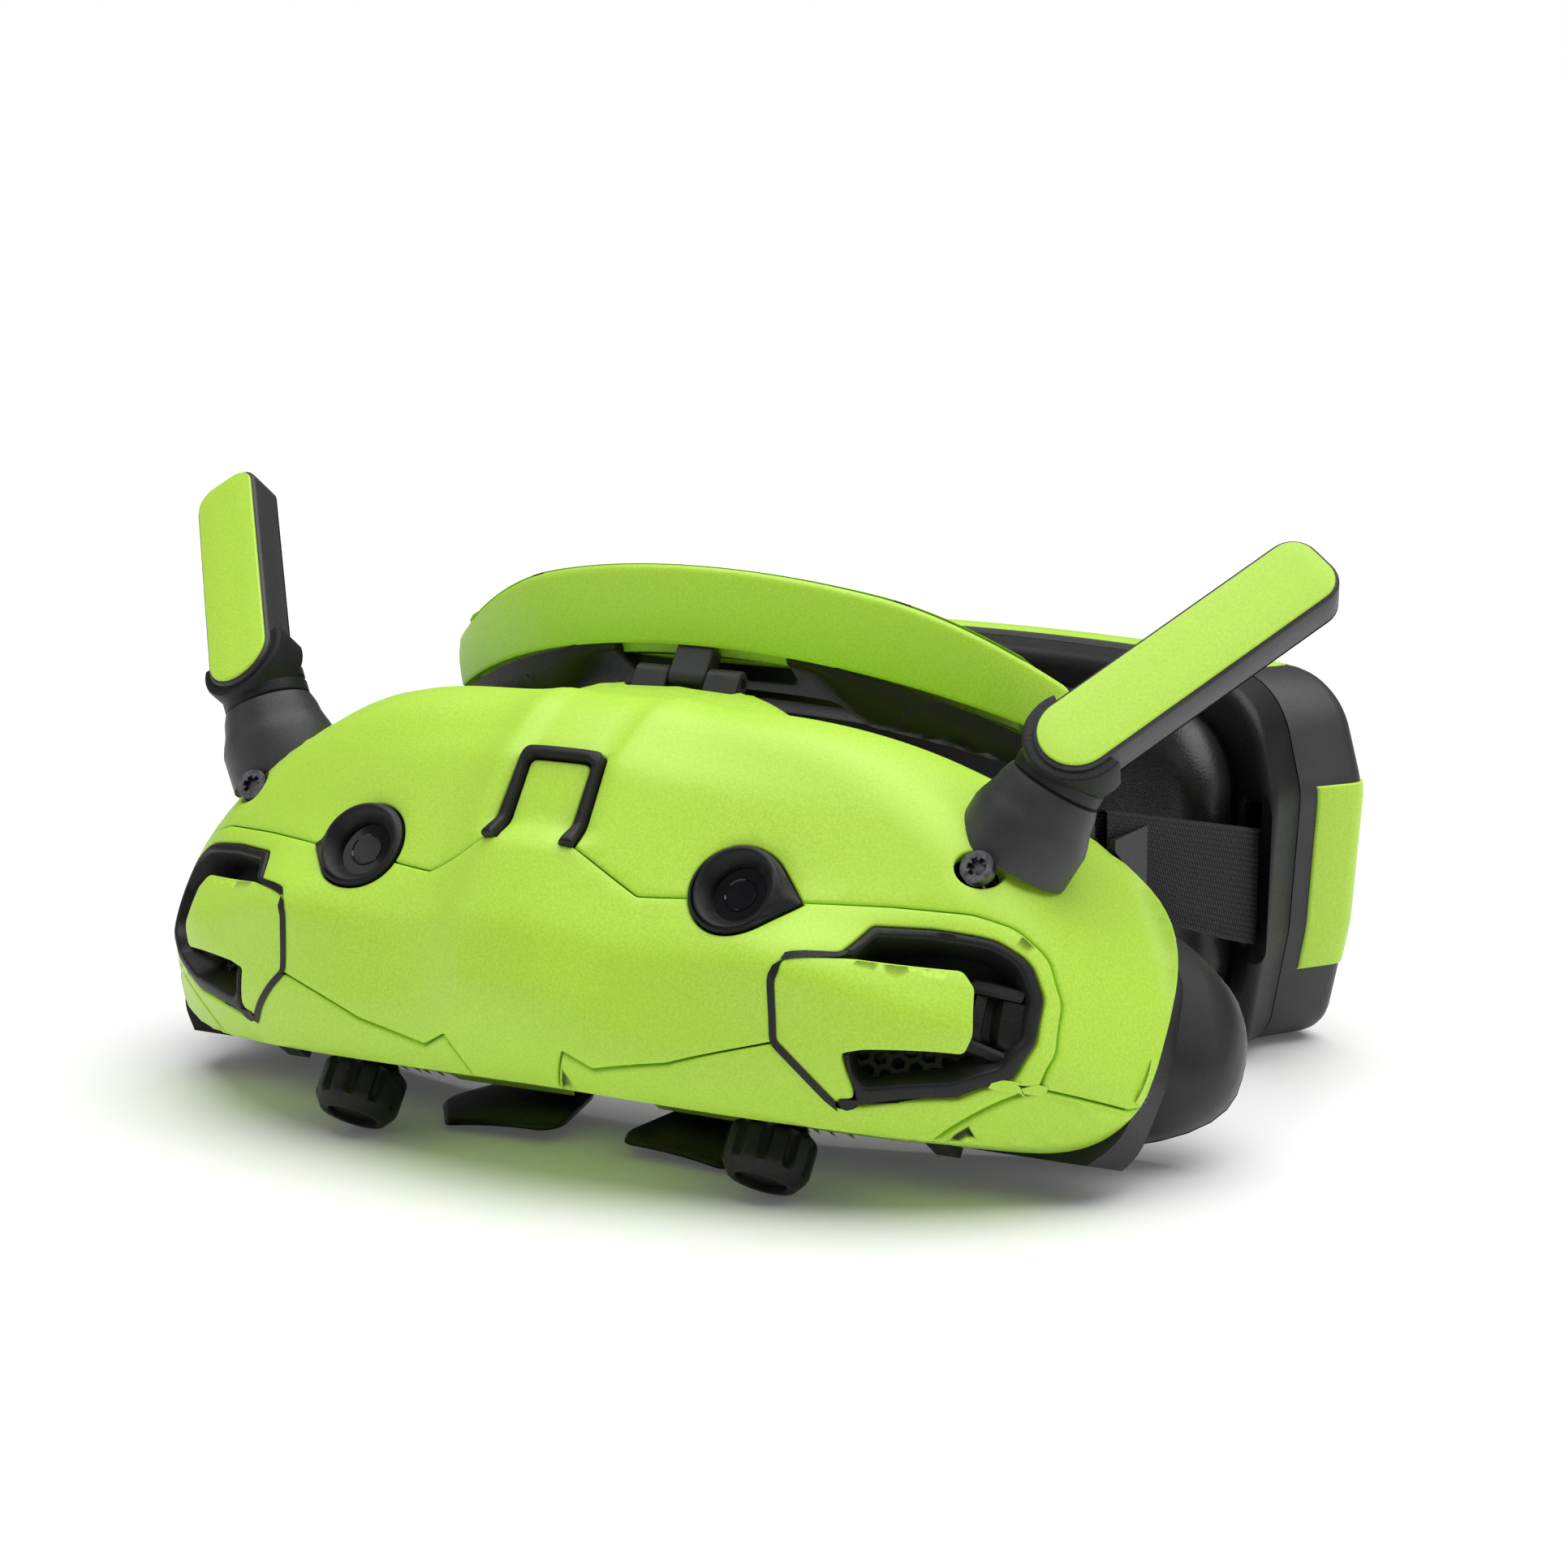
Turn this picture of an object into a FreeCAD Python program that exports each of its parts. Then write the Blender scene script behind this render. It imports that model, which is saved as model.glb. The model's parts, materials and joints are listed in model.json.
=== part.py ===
"""Head-worn video goggles for flying a drone, lying face down on a table.

The goggles' body is drawn in its own worn frame: X to the viewer's right, Y from
the front cameras towards the face, Z up, with the origin midway between the two
front camera lenses. The body then tips back by PITCH about X, as it lies on its
two knobs, on the rubber face shield and on the battery box. The forehead pad and
the antennas belong to the same worn frame. The straps and the battery box are
drawn in the table frame, which shares that origin and has Z straight up.
"""
import FreeCAD, Part
import math
import os
from FreeCAD import Vector

os.makedirs("parts", exist_ok=True)

# ---- driving dimensions, millimetres and degrees ----
PITCH = 36.0                 # how far the body tips back on the table
LENS_HEIGHT = 46.5           # front camera lenses above the table
LENS_X = 33.0                # each front camera from the middle
ROW_SHIFT = -69.05           # moves the lens point so the whole object is centred
SHELL_HALF_WIDTH = 88.2
SHELL_TOP = 35.5
SHELL_BOTTOM = -30.5
SHELL_BACK = 38.0            # rear edge of the coloured shells
WALL = 2.2                   # shell wall
SEAM = 0.3                   # gap between neighbouring panels
EYE_X = 32.0                 # eyepiece centre from the middle, at 64 mm spacing
EYE_Z = -2.0
KNOB_X = 36.6
KNOB_Y = 25.5
KNOB_TIP_Z = -35.39
KNOB_R = 6.8
PAD_HINGE = (22.5, 44.2)     # y and z of the forehead pad's hinge pin
BOX_ARC_Y = 5.0              # centre of the battery box's curve, table frame
BOX_INNER_R = 122.0
BOX_SPLIT_R = 132.0
BOX_OUTER_R = 146.5
BOX_HEIGHT = 64.0
BOX_HALF = 79.0
BOX_FLARE = 106.0            # where the flared outer cover is as wide as the inner one
DIAL_Z = 48.6
PINION_R = 7.0
BEZEL_R = 7.4                # front camera bezels
GLASS_R = 4.2
SCREW_X, SCREW_Z = 64.7, 12.0
SLOT = (22.2, 51.5)          # ends of the slot each knob slides in
GRILLE_PITCH = 2.5
PAD_FRONT = 19.9             # forehead band: depth of its middle and of its ends
PAD_END = 44.7
PAD_HALF = 57.5
PAD_Z = 49.1                 # underside of the forehead pad
PAD_BAND = 13.5              # height of its coloured band
CHASSIS_BACK = 46.0
RAIL_Y = 22.0
RAIL_Z = (19.5, -20.0)
BARREL_R = 15.0
KNOB_GROOVES = 10
PADDLE_LENGTH = 47.5
STRAP_X = 70.0               # strap where it leaves the body, and its tail in the box
TAIL_X = 74.6
STRAP_THICK = 2.0
STRAP_TOP = [(40, 9.2), (94, -3.4), (104, -5.8), (113, -5.8)]
STRAP_FOOT = [(113, -24.8), (101, -24.8), (90, -21.6), (72, -15.6), (56, -7.8), (40, -3)]
BUTTON_X, BUTTON_Z = 40.0, 20.0
TABLE = -LENS_HEIGHT         # the table's height in the table frame

X_AXIS = Vector(1, 0, 0)
Y_AXIS = Vector(0, 1, 0)
Z_AXIS = Vector(0, 0, 1)
ORIGIN = Vector(0, 0, 0)
nodes = {}


# ---- helpers ----
def save_table(name, shape):
    """Keeps a shape drawn in the table frame."""
    moved = shape.copy()
    moved.translate(Vector(0, ROW_SHIFT, LENS_HEIGHT))
    nodes[name] = moved


def save_worn(name, shape):
    """Keeps a shape drawn in the worn frame, tipped back onto the table."""
    moved = shape.copy()
    moved.rotate(ORIGIN, X_AXIS, -PITCH)
    save_table(name, moved)


def to_worn(shape):
    """Takes a table-frame shape into the worn frame."""
    moved = shape.copy()
    moved.rotate(ORIGIN, X_AXIS, PITCH)
    return moved


def mirrored(shape):
    return shape.mirror(ORIGIN, X_AXIS)


def both(shape):
    return Part.Compound([shape, mirrored(shape)])


def box(x0, x1, y0, y1, z0, z1):
    return Part.makeBox(x1 - x0, y1 - y0, z1 - z0, Vector(x0, y0, z0))


def cylinder(radius, start, end):
    start, end = Vector(*start), Vector(*end)
    along = end - start
    return Part.makeCylinder(radius, along.Length, start, along)


def cone(r0, r1, start, end):
    start, end = Vector(*start), Vector(*end)
    along = end - start
    return Part.makeCone(r0, r1, along.Length, start, along)


def raised(face, along):
    """The solid swept by a face, always the right way out."""
    solid = face.extrude(along)
    if solid.Volume < 0:
        solid.reverse()
    return solid


def rounded_face(points, radius, lift):
    """A flat face with rounded corners; lift turns (a, b) into a point in space."""
    corners = [Vector(a, b, 0) for a, b in points]
    turns = []
    for before, here, after in zip(corners[-1:] + corners[:-1], corners, corners[1:] + corners[:1]):
        u, v = before - here, after - here
        room = 0.45 * min(u.Length, v.Length)
        u.normalize()
        v.normalize()
        angle = math.acos(max(-1.0, min(1.0, u.dot(v))))
        if angle > math.pi - 0.01:
            turns.append([here])
            continue
        reach = min(radius / math.tan(angle / 2), room)
        r = reach * math.tan(angle / 2)
        middle = here + (u + v).normalize() * (r / math.sin(angle / 2) - r)
        turns.append([here + u * reach, middle, here + v * reach])
    edges = []
    for turn, following in zip(turns, turns[1:] + turns[:1]):
        spots = [lift(p.x, p.y) for p in turn]
        if len(spots) == 3:
            edges.append(Part.Arc(*spots).toShape())
        edges.append(Part.makeLine(spots[-1], lift(following[0].x, following[0].y)))
    return Part.Face(Part.Wire(edges))


def front_prism(points, radius=1.0, y0=-30.0, y1=60.0):
    """A prism along Y whose outline is drawn in X and Z."""
    face = rounded_face(points, radius, lambda a, b: Vector(a, y0, b))
    return raised(face, Vector(0, y1 - y0, 0))


def plan_prism(points, radius, z0, z1):
    """A prism along Z whose outline is drawn in X and Y."""
    face = rounded_face(points, radius, lambda a, b: Vector(a, b, z0))
    return raised(face, Vector(0, 0, z1 - z0))


# ---- the body's form: one outline seen from the front, one from above, one from the side ----
OUTLINE = [(0, SHELL_TOP), (46, 34.2), (75, 28), (86.6, 12), (SHELL_HALF_WIDTH, -3), (86.4, -17), (75, -29.5),
           (40, SHELL_BOTTOM), (0, SHELL_BOTTOM)]
PLAN = [(0, -8.6), (8, -7.6), (18, -2.8), (33, -0.6), (52, 4.2), (68, 10), (77.3, 18), (87.8, 37)]
PROFILE = [(12.5, 35.5), (-4.5, 24.5), (-8.8, 12), (-8.8, -12), (-4.5, -22), (6, -29.4), (10, -31)]


def mirror_line(points):
    return [(-x, y) for x, y in reversed(points) if x > 0] + points


def form(inset, back):
    """The body between its front skin and a rear plane, made smaller by inset all round."""
    shrink = (SHELL_HALF_WIDTH - inset) / SHELL_HALF_WIDTH
    squash = (SHELL_TOP - inset) / SHELL_TOP
    seen_front = [(x * shrink, z * squash) for x, z in OUTLINE]
    outline = front_prism(mirror_line(seen_front), 10, -20, back)
    seen_above = [(x * shrink, y + inset) for x, y in PLAN]
    half = SHELL_HALF_WIDTH - inset
    plan = plan_prism([(-half, 80)] + mirror_line(seen_above + [(half, 80)])[1:], 6, -60, 60)
    seen_side = [(y + inset, z * squash) for y, z in PROFILE]
    seen_side += [(80, SHELL_BOTTOM * squash + 22), (80, 60), (12.5 + inset, 60)]
    face = rounded_face(seen_side, 5, lambda a, b: Vector(-120, a, b))
    side = raised(face, Vector(240, 0, 0))
    return outline.common(plan).common(side)


shell = form(0, SHELL_BACK).cut(form(WALL, 60))

# ---- seams and openings of the front, as outlines in X and Z ----
CHIN = [(7.8, -30.3), (10.4, -27.2), (14.8, -28.4), (27, -26.1), (43, -20.6), (60, -23), (79, -16.4),
        (60, -28.4), (57, -45), (7.8, -45)]
CORNER = [(79, -16.4), (83.4, -15.5), (99, -10.5), (99, -45), (57, -45), (60, -28.4)]
VENT = [(51.0, -6.7), (53.4, -0.8), (61.4, 1.0), (70.3, 1.7), (75.4, 0.2), (78.2, -4.6), (78.6, -11.5),
        (76, -16.6), (68.5, -21.2), (55.3, -25.2), (51.2, -25.9), (43, -20.5), (42.7, -13.0), (44.2, -9.2)]
DUCT = [(52.9, -6.0), (54.6, -2.4), (61.4, -0.8), (69.8, 0.0), (73.8, -1.0), (76.4, -5.2), (76.8, -11.3),
        (74.4, -15.6), (67.8, -19.5), (55.8, -23.2), (54.4, -21.6), (54.0, -19.0), (46, -16), (46, -10)]
ISLAND = [(44.1, -9.3), (46.6, -8.4), (53.2, -6.6), (67.0, -3.9), (69.1, -6.0), (70.2, -12.6), (69.0, -15.6),
          (55.9, -18.9), (53.0, -20.0), (54.6, -24.5), (51.3, -25.8), (43.2, -20.4), (42.8, -13.0)]


def swap(points):
    return [(-x, z) for x, z in points]


def grown_prism(points, amount, radius=0.8):
    """A prism along Y whose outline is moved outwards by amount."""
    face = rounded_face(points, radius, lambda a, b: Vector(a, -30, b))
    return raised(Part.Face(face.OuterWire.makeOffset2D(amount)), Vector(0, 90, 0))


def lower_outline(inset):
    """The cheek plate's outline: seam above, band round the vents, chin seam below."""
    right = [(7.8, -34), (10.4, -27.2 + inset), (14.8, -28.4 + inset), (27, -26.1 + inset), (43, -20.6 + inset),
             (60, -22), (79, -16.4), (81.2, -11.5), (80.6, -4.5), (77.6, 1.6 - inset), (72.5, 4.4 - inset),
             (66, 4.6 - inset), (55, 2.9 - inset), (41.5, 0.1 - inset), (33, -inset), (25.5, -2.3 - inset),
             (18.2, -3.5 - inset), (7.7, 1.5 - inset)]
    return front_prism(right + swap(reversed(right)), 0.5)


vent_hole = grown_prism(VENT, SEAM)
ring_hole = cylinder(BEZEL_R + SEAM, (LENS_X, -30, 0), (LENS_X, 30, 0))
trim_hole = front_prism([(-8.0, 0.4), (-7.4, 17.6), (7.4, 17.6), (8.0, 0.4)], 2.4)
screw_pit = cylinder(3.1, (SCREW_X, 0, SCREW_Z), (SCREW_X, 30, SCREW_Z))
TAIL = [(38.4, 3.4), (43.0, 0.3), (38.4, -2.6), (36, 0)]
tail_hole = grown_prism(TAIL, SEAM, 0.3)
openings = [vent_hole, mirrored(vent_hole), ring_hole, mirrored(ring_hole), tail_hole, mirrored(tail_hole)]
chin_room = grown_prism(CHIN, SEAM, 0.3)
corner_room = grown_prism(CORNER, SEAM, 0.3)
below = [chin_room, mirrored(chin_room), corner_room, mirrored(corner_room)]


def largest(shape):
    return max(shape.Solids, key=lambda solid: solid.Volume)


def layer(outer, inner):
    """A skin of the body between two depths below its surface."""
    return form(outer, 26).cut(form(inner, 60))


# ---- front shells and panels ----
pits = [screw_pit, mirrored(screw_pit), trim_hole]
upper_shell = largest(shell.cut(lower_outline(-SEAM / 2)).cut(below + openings + pits))
strip = layer(1.9, 4.4).common(front_prism([(-5.5, -4), (-5.3, 15.4), (5.3, 15.4), (5.5, -4)], 1.0))
leg_room = front_prism([(5.5, 0.4), (5.5, 4.0), (8.0, 4.0), (8.0, 0.4)], 0.3)
knob_slot = plan_prism([(SLOT[0], KNOB_Y - 7.6), (SLOT[0], KNOB_Y + 7.6), (SLOT[1], KNOB_Y + 7.6),
                        (SLOT[1], KNOB_Y - 7.6)], 7.5, -45, -12)
passages = [leg_room, mirrored(leg_room), knob_slot, mirrored(knob_slot)]
cheeks = largest(shell.common(lower_outline(SEAM / 2)).cut(below + openings + passages))
save_worn("lower_front_shell", cheeks.fuse(strip))
chin = largest(shell.common(front_prism(CHIN, 0.3)).cut([vent_hole, knob_slot, corner_room]))
save_worn("chin_panel_right", chin)
save_worn("chin_panel_left", mirrored(chin))
corner = largest(shell.common(front_prism(CORNER, 0.3)).cut(vent_hole))
save_worn("corner_panels", both(corner))

# ---- vents: a deep C-shaped trim, a coloured island and a honeycomb grille ----
trim = layer(-0.5, 6.5).common(front_prism(VENT, 0.8)).cut([front_prism(DUCT, 0.8), grown_prism(ISLAND, SEAM)])
for rib_z in (-6.5, -12.5):
    trim = trim.fuse(layer(2.5, 6.5).common(box(70.6, 77.5, -30, 60, rib_z - 1.2, rib_z + 1.2)))
trim = largest(trim)
save_worn("vent_trim_right", trim)
save_worn("vent_trim_left", mirrored(trim))
island = largest(layer(0.1, 6.2).common(front_prism(ISLAND, 0.8)))
save_worn("vent_island_right", island)
save_worn("vent_island_left", mirrored(island))
grille = layer(6.7, 7.9).common(grown_prism(VENT, -0.6))
cells = []
for row in range(11):
    for column in range(12):
        x = 47 + GRILLE_PITCH * (column + 0.5 * (row % 2))
        z = -24 + GRILLE_PITCH * 0.866 * row
        if front_prism(DUCT, 0.8).isInside(Vector(x, 0, z), 0.1, True):
            cells.append(Part.makePolygon([Vector(x + 1.0 * math.sin(math.pi * k / 3), -20,
                                                  z + 1.0 * math.cos(math.pi * k / 3)) for k in range(7)]))
grille = largest(grille.cut([raised(Part.Face(cell), Vector(0, 80, 0)) for cell in cells]))
save_worn("vent_grilles", both(grille))

# ---- nose trim, front cameras, screws ----
nose_trim = layer(-0.8, 4.0).common(front_prism([(-7.6, 0.8), (-7.1, 17.3), (7.1, 17.3), (7.6, 0.8)], 2.2))
nose_trim = nose_trim.cut(front_prism([(-5.8, -6), (-5.6, 15.7), (5.6, 15.7), (5.8, -6)], 1.2))
save_worn("nose_trim", nose_trim)
bezel = cylinder(BEZEL_R, (LENS_X, -2.3, 0), (LENS_X, 5, 0))
bezel = bezel.fuse(front_prism(TAIL, 0.3, -0.6, 3.4)).removeSplitter()
bezel = bezel.cut([cone(6.8, GLASS_R + 0.1, (LENS_X, -2.4, 0), (LENS_X, 0, 0)),
                   cylinder(GLASS_R + 0.1, (LENS_X, -1, 0), (LENS_X, 6, 0))])
save_worn("camera_bezel_right", bezel)
save_worn("camera_bezel_left", mirrored(bezel))
glass = cylinder(GLASS_R, (LENS_X, 0, 0), (LENS_X, 1.2, 0)).cut(cylinder(1.6, (LENS_X, -1, 0), (LENS_X, 3, 0)))
save_worn("camera_cover_glasses", both(glass))
module = cylinder(3.9, (LENS_X, 1.3, 0), (LENS_X, 9, 0)).fuse(cylinder(1.45, (LENS_X, 0.4, 0), (LENS_X, 2, 0)))
save_worn("camera_modules", both(module))
screw_y = 8.6
screw = cylinder(2.6, (SCREW_X, screw_y, SCREW_Z), (SCREW_X, screw_y + 1.6, SCREW_Z))
screw = screw.fuse(cylinder(1.2, (SCREW_X, screw_y + 1.6, SCREW_Z), (SCREW_X, screw_y + 8, SCREW_Z)))
for turn in range(3):
    lobe = box(-1.5, 1.5, -1, 0.9, -0.45, 0.45)
    lobe.rotate(ORIGIN, Y_AXIS, 60 * turn)
    lobe.translate(Vector(SCREW_X, screw_y, SCREW_Z))
    screw = screw.cut(lobe)
save_worn("front_screws", both(screw))

# ---- top cover with the forehead pad's hinge ----
hinge_y, hinge_z = PAD_HINGE
hump = front_prism([(-30, 33), (-12.8, 42), (12.8, 42), (30, 33)], 1.5, 10, SHELL_BACK)
hump_side = rounded_face([(13, 30), (18.5, 43), (60, 43), (60, 30)], 2, lambda a, b: Vector(-60, a, b))
hump = hump.common(raised(hump_side, Vector(120, 0, 0))).cut(form(-0.1, 60))
hinge_pit = box(-10.2, 10.2, hinge_y - 2.7, hinge_y + 3.2, 40, 60)
save_worn("top_cover", largest(hump.cut(hinge_pit)))
pin_hole = cylinder(0.95, (-20, hinge_y, hinge_z), (20, hinge_y, hinge_z))
bracket = box(-9.8, 9.8, hinge_y - 2.4, hinge_y + 2.8, 40.1, 41.6)
for x0, x1 in ((-9.5, -3.4), (3.4, 9.5)):
    bracket = bracket.fuse([cylinder(2.2, (x0, hinge_y, hinge_z), (x1, hinge_y, hinge_z)),
                            box(x0, x1, hinge_y - 2.2, hinge_y + 2.2, 41, hinge_z)])
save_worn("forehead_bracket", bracket.cut(pin_hole))
save_worn("hinge_pin", cylinder(0.9, (-9.5, hinge_y, hinge_z), (9.5, hinge_y, hinge_z)))

# ---- forehead pad: a visor-shaped frame, a coloured band and a cushion ----
LEAN = Vector(0, -math.sin(math.radians(PITCH)), math.cos(math.radians(PITCH)))


def crescent(front, back, half, level, height):
    """A visor shape between two arcs, given by the depth of their middle and ends at the
    pad's underside. It starts level along the lean and is height tall."""
    shift = LEAN * level + Vector(0, 0, PAD_Z)
    ends = [Vector(-half, front[1], 0), Vector(0, front[0], 0), Vector(half, front[1], 0),
            Vector(half, back[1], 0), Vector(0, back[0], 0), Vector(-half, back[1], 0)]
    ends = [end + shift for end in ends]
    wire = Part.Wire([Part.Arc(*ends[:3]).toShape(), Part.makeLine(ends[2], ends[3]),
                      Part.Arc(*ends[3:]).toShape(), Part.makeLine(ends[5], ends[0])])
    return raised(Part.Face(wire), LEAN * height)


band = crescent((PAD_FRONT, PAD_END), (PAD_FRONT + 14, PAD_END + 3.5), PAD_HALF, 0, PAD_BAND)
band = band.cut(crescent((PAD_FRONT + 1.5, PAD_END + 0.6), (66, 60), PAD_HALF - 1.2, -5, PAD_BAND + 3.6))
save_worn("forehead_band", band)
frame = crescent((PAD_FRONT + 1.7, PAD_END + 0.8), (PAD_FRONT + 12, PAD_END + 3.2), PAD_HALF - 1.5, 0,
                 PAD_BAND - 1.6)
frame = frame.cut(crescent((PAD_FRONT + 3.7, PAD_END + 2), (PAD_FRONT + 10, PAD_END + 3), PAD_HALF - 6, 2,
                           PAD_BAND - 5.5))
frame = frame.cut(box(-12, 12, hinge_y - 4, hinge_y + 4.4, 40, PAD_Z + 0.8))
frame = frame.fuse([box(-3.2, 3.2, hinge_y - 1.6, hinge_y + 1.6, hinge_z, PAD_Z + 1.5),
                    cylinder(2.2, (-3.2, hinge_y, hinge_z), (3.2, hinge_y, hinge_z))]).cut(pin_hole)
save_worn("forehead_frame", largest(frame.cut(band)))
cushion = crescent((PAD_FRONT + 12.3, PAD_END + 3.5), (PAD_FRONT + 22, PAD_END + 7), PAD_HALF - 2, -1.0,
                   PAD_BAND + 1.0)
save_worn("forehead_cushion", largest(cushion.cut([band, frame])))

# ---- rear chassis, eyepieces and what slides in them ----
window = front_prism([(10.8, -20.5), (10.8, 17.5), (53.2, 17.5), (53.2, -20.5)], 12, 30, 60)
notch = front_prism([(-19, -40), (-6.5, -9), (6.5, -9), (19, -40)], 4, SHELL_BACK - 6, 90)
chassis = form(1.0, CHASSIS_BACK).cut([box(-120, 120, -40, SHELL_BACK + 0.2, -60, 60), window, mirrored(window), notch])
posts = []
for rail_z in RAIL_Z:
    posts.append(box(57, 61, RAIL_Y - 3, SHELL_BACK + 0.2, rail_z - 3, rail_z + 3))
chassis = chassis.fuse(posts + [mirrored(post) for post in posts])
rails = [cylinder(1.5, (-60.5, RAIL_Y, rail_z), (60.5, RAIL_Y, rail_z)) for rail_z in RAIL_Z]
vent_room = layer(-1, 8.5).common(grown_prism(VENT, 0.4))
save_worn("rear_chassis", largest(chassis.cut(rails + [vent_room, mirrored(vent_room)])))
save_worn("ipd_rails", Part.Compound(rails))

carriage = box(EYE_X - 17, EYE_X + 17, 20, 24, -21.9, 22.4)
carriage = carriage.fuse(box(KNOB_X - 4, KNOB_X + 4, 22, 29.4, -21.9, -17.4))
rail_bores = [cylinder(1.55, (-80, RAIL_Y, rail_z), (80, RAIL_Y, rail_z)) for rail_z in RAIL_Z]
carriage = carriage.cut(rail_bores + [cylinder(BARREL_R + 0.05, (EYE_X, 0, EYE_Z), (EYE_X, 60, EYE_Z)),
                                      cylinder(2.05, (KNOB_X, KNOB_Y, -30), (KNOB_X, KNOB_Y, -10))])
barrel = cylinder(BARREL_R, (EYE_X, 22.2, EYE_Z), (EYE_X, 42.5, EYE_Z))
barrel = barrel.cut(cylinder(BARREL_R - 1.4, (EYE_X, 20, EYE_Z), (EYE_X, 60, EYE_Z)))
ball = Part.makeSphere(28, Vector(EYE_X, 41.4 - 28, EYE_Z))
lens = cylinder(BARREL_R - 1.45, (EYE_X, 35.5, EYE_Z), (EYE_X, 44, EYE_Z)).common(ball)
display = box(EYE_X - 12, EYE_X + 12, 16.5, 19.9, EYE_Z - 11, EYE_Z + 11)
shaft = cylinder(2.0, (KNOB_X, KNOB_Y, -31), (KNOB_X, KNOB_Y, -17.5))
shaft = shaft.fuse(cylinder(3.2, (KNOB_X, KNOB_Y, -23.2), (KNOB_X, KNOB_Y, -22.0)))
knob = cylinder(KNOB_R, (KNOB_X, KNOB_Y, KNOB_TIP_Z + 2), (KNOB_X, KNOB_Y, KNOB_TIP_Z + 7.1))
knob = knob.fuse([cone(4.9, KNOB_R, (KNOB_X, KNOB_Y, KNOB_TIP_Z), (KNOB_X, KNOB_Y, KNOB_TIP_Z + 2)),
                  cone(KNOB_R, 4.4, (KNOB_X, KNOB_Y, KNOB_TIP_Z + 7.1), (KNOB_X, KNOB_Y, KNOB_TIP_Z + 9.6))])
grooves = [cylinder(2.05, (KNOB_X, KNOB_Y, -33.8), (KNOB_X, KNOB_Y, -20)),
           cylinder(3.9, (KNOB_X, KNOB_Y, KNOB_TIP_Z - 1), (KNOB_X, KNOB_Y, KNOB_TIP_Z + 0.6))]
for turn in range(KNOB_GROOVES):
    angle = 2 * math.pi * turn / KNOB_GROOVES
    x, y = KNOB_X + 7.3 * math.cos(angle), KNOB_Y + 7.3 * math.sin(angle)
    grooves.append(cylinder(1.1, (x, y, KNOB_TIP_Z + 3), (x, y, KNOB_TIP_Z + 12)))
knob = knob.cut(grooves)
for name, shape in (("lens_carriage", carriage), ("lens_barrel", barrel), ("eyepiece_lens", lens),
                    ("display_module", display), ("diopter_shaft", shaft), ("diopter_knob", knob)):
    save_worn(name + "_right", shape)
    save_worn(name + "_left", mirrored(shape))

# ---- electronics and cooling ----
board = box(-44, 44, 11.8, 13.4, -14, 24)
save_worn("main_board", board.fuse([box(-9, 9, 13.4, 14.6, 0, 16), box(16, 26, 13.4, 14.8, 14, 22)]))
sink = box(-22, 22, 10, 11.7, -12, 20)
save_worn("heatsink", sink.fuse([box(x - 0.5, x + 0.5, 5, 10, -12, 20) for x in range(-21, 22, 6)]))
fan = box(-13, 13, -2.6, 3.6, -14, 12).cut(cylinder(12, (0, -5, -1), (0, 2.8, -1)))
fan = fan.cut([cylinder(2, (9 * math.cos(k), 0, -1 + 9 * math.sin(k)), (9 * math.cos(k), 9, -1 + 9 * math.sin(k)))
               for k in range(6)])
save_worn("fan_frame", fan.fuse(cylinder(1.5, (0, -1.5, -1), (0, 3, -1))))
rotor = cylinder(4.5, (0, -2.4, -1), (0, 2.2, -1))
for blade_index in range(7):
    blade = box(3.8, 11.6, -1.8, 1.6, -0.35, 0.35)
    blade.rotate(ORIGIN, X_AXIS, 35)
    blade.rotate(ORIGIN, Y_AXIS, 360 / 7 * blade_index)
    blade.translate(Vector(0, 0, -1))
    rotor = rotor.fuse(blade)
save_worn("fan_rotor", rotor.cut(cylinder(1.56, (0, -1.9, -1), (0, 3, -1))))

# ---- rubber face shield ----
SHIELD_RINGS = [
    (SHELL_BACK + 8.3, [(0, 31), (48, 30), (74, 23), (87, 6), (87, -6), (76, -16), (45, -20), (0, -20)]),
    (53, [(0, 31), (48, 30), (75, 22), (95, 3), (95, -6), (82, -15), (50, -19.5), (0, -17)]),
    (64, [(0, 30), (46, 29), (74, 21), (93, 2), (92, -5), (80, -12), (48, -17), (0, -12)])]


def shield_loft(shrink):
    wires = []
    for y, points in SHIELD_RINGS:
        ring = [(x * (1 - shrink / 90), 4 + (z - 4) * (1 - shrink / 30)) for x, z in points]
        wires.append(rounded_face(mirror_line(ring), 9, lambda a, b: Vector(a, y, b)).OuterWire)
    solid = Part.makeLoft(wires, True, True)
    if solid.Volume < 0:
        solid.reverse()
    return solid


table_block = to_worn(box(-200, 200, -200, 200, -200, TABLE))
face_curve = cylinder(200, (0, 247, -80), (0, 247, 80))
shield = shield_loft(0).cut(shield_loft(9)).cut([notch, face_curve, table_block])
save_worn("face_shield", largest(shield))
flap = plan_prism([(7.5, 36), (12, 47), (27, 50), (31, 42), (20, 35)], 2.5, -28.6, -27.4)
flap.rotate(Vector(7.5, 36, -28), X_AXIS, 36)
save_worn("nose_flaps", both(largest(flap.cut(shield))))

# ---- antennas: a fixed cone and collar, a paddle that swings in the plane of its face ----
FACE_OUT = Vector(0.252, -0.951, 0.133).normalize()
PADDLE_WAY = Vector(0.542, 0.255, 0.800)
PADDLE_WAY = (PADDLE_WAY - FACE_OUT * PADDLE_WAY.dot(FACE_OUT)).normalize()
ACROSS = FACE_OUT.cross(PADDLE_WAY)
STEM = Vector(0.45, -0.33, 0.83).normalize()
FOOT = Vector(69.1, 15.1, 25.0)
PADDLE_ROOT = Vector(74.6, 8.6, 33.8)


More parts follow.
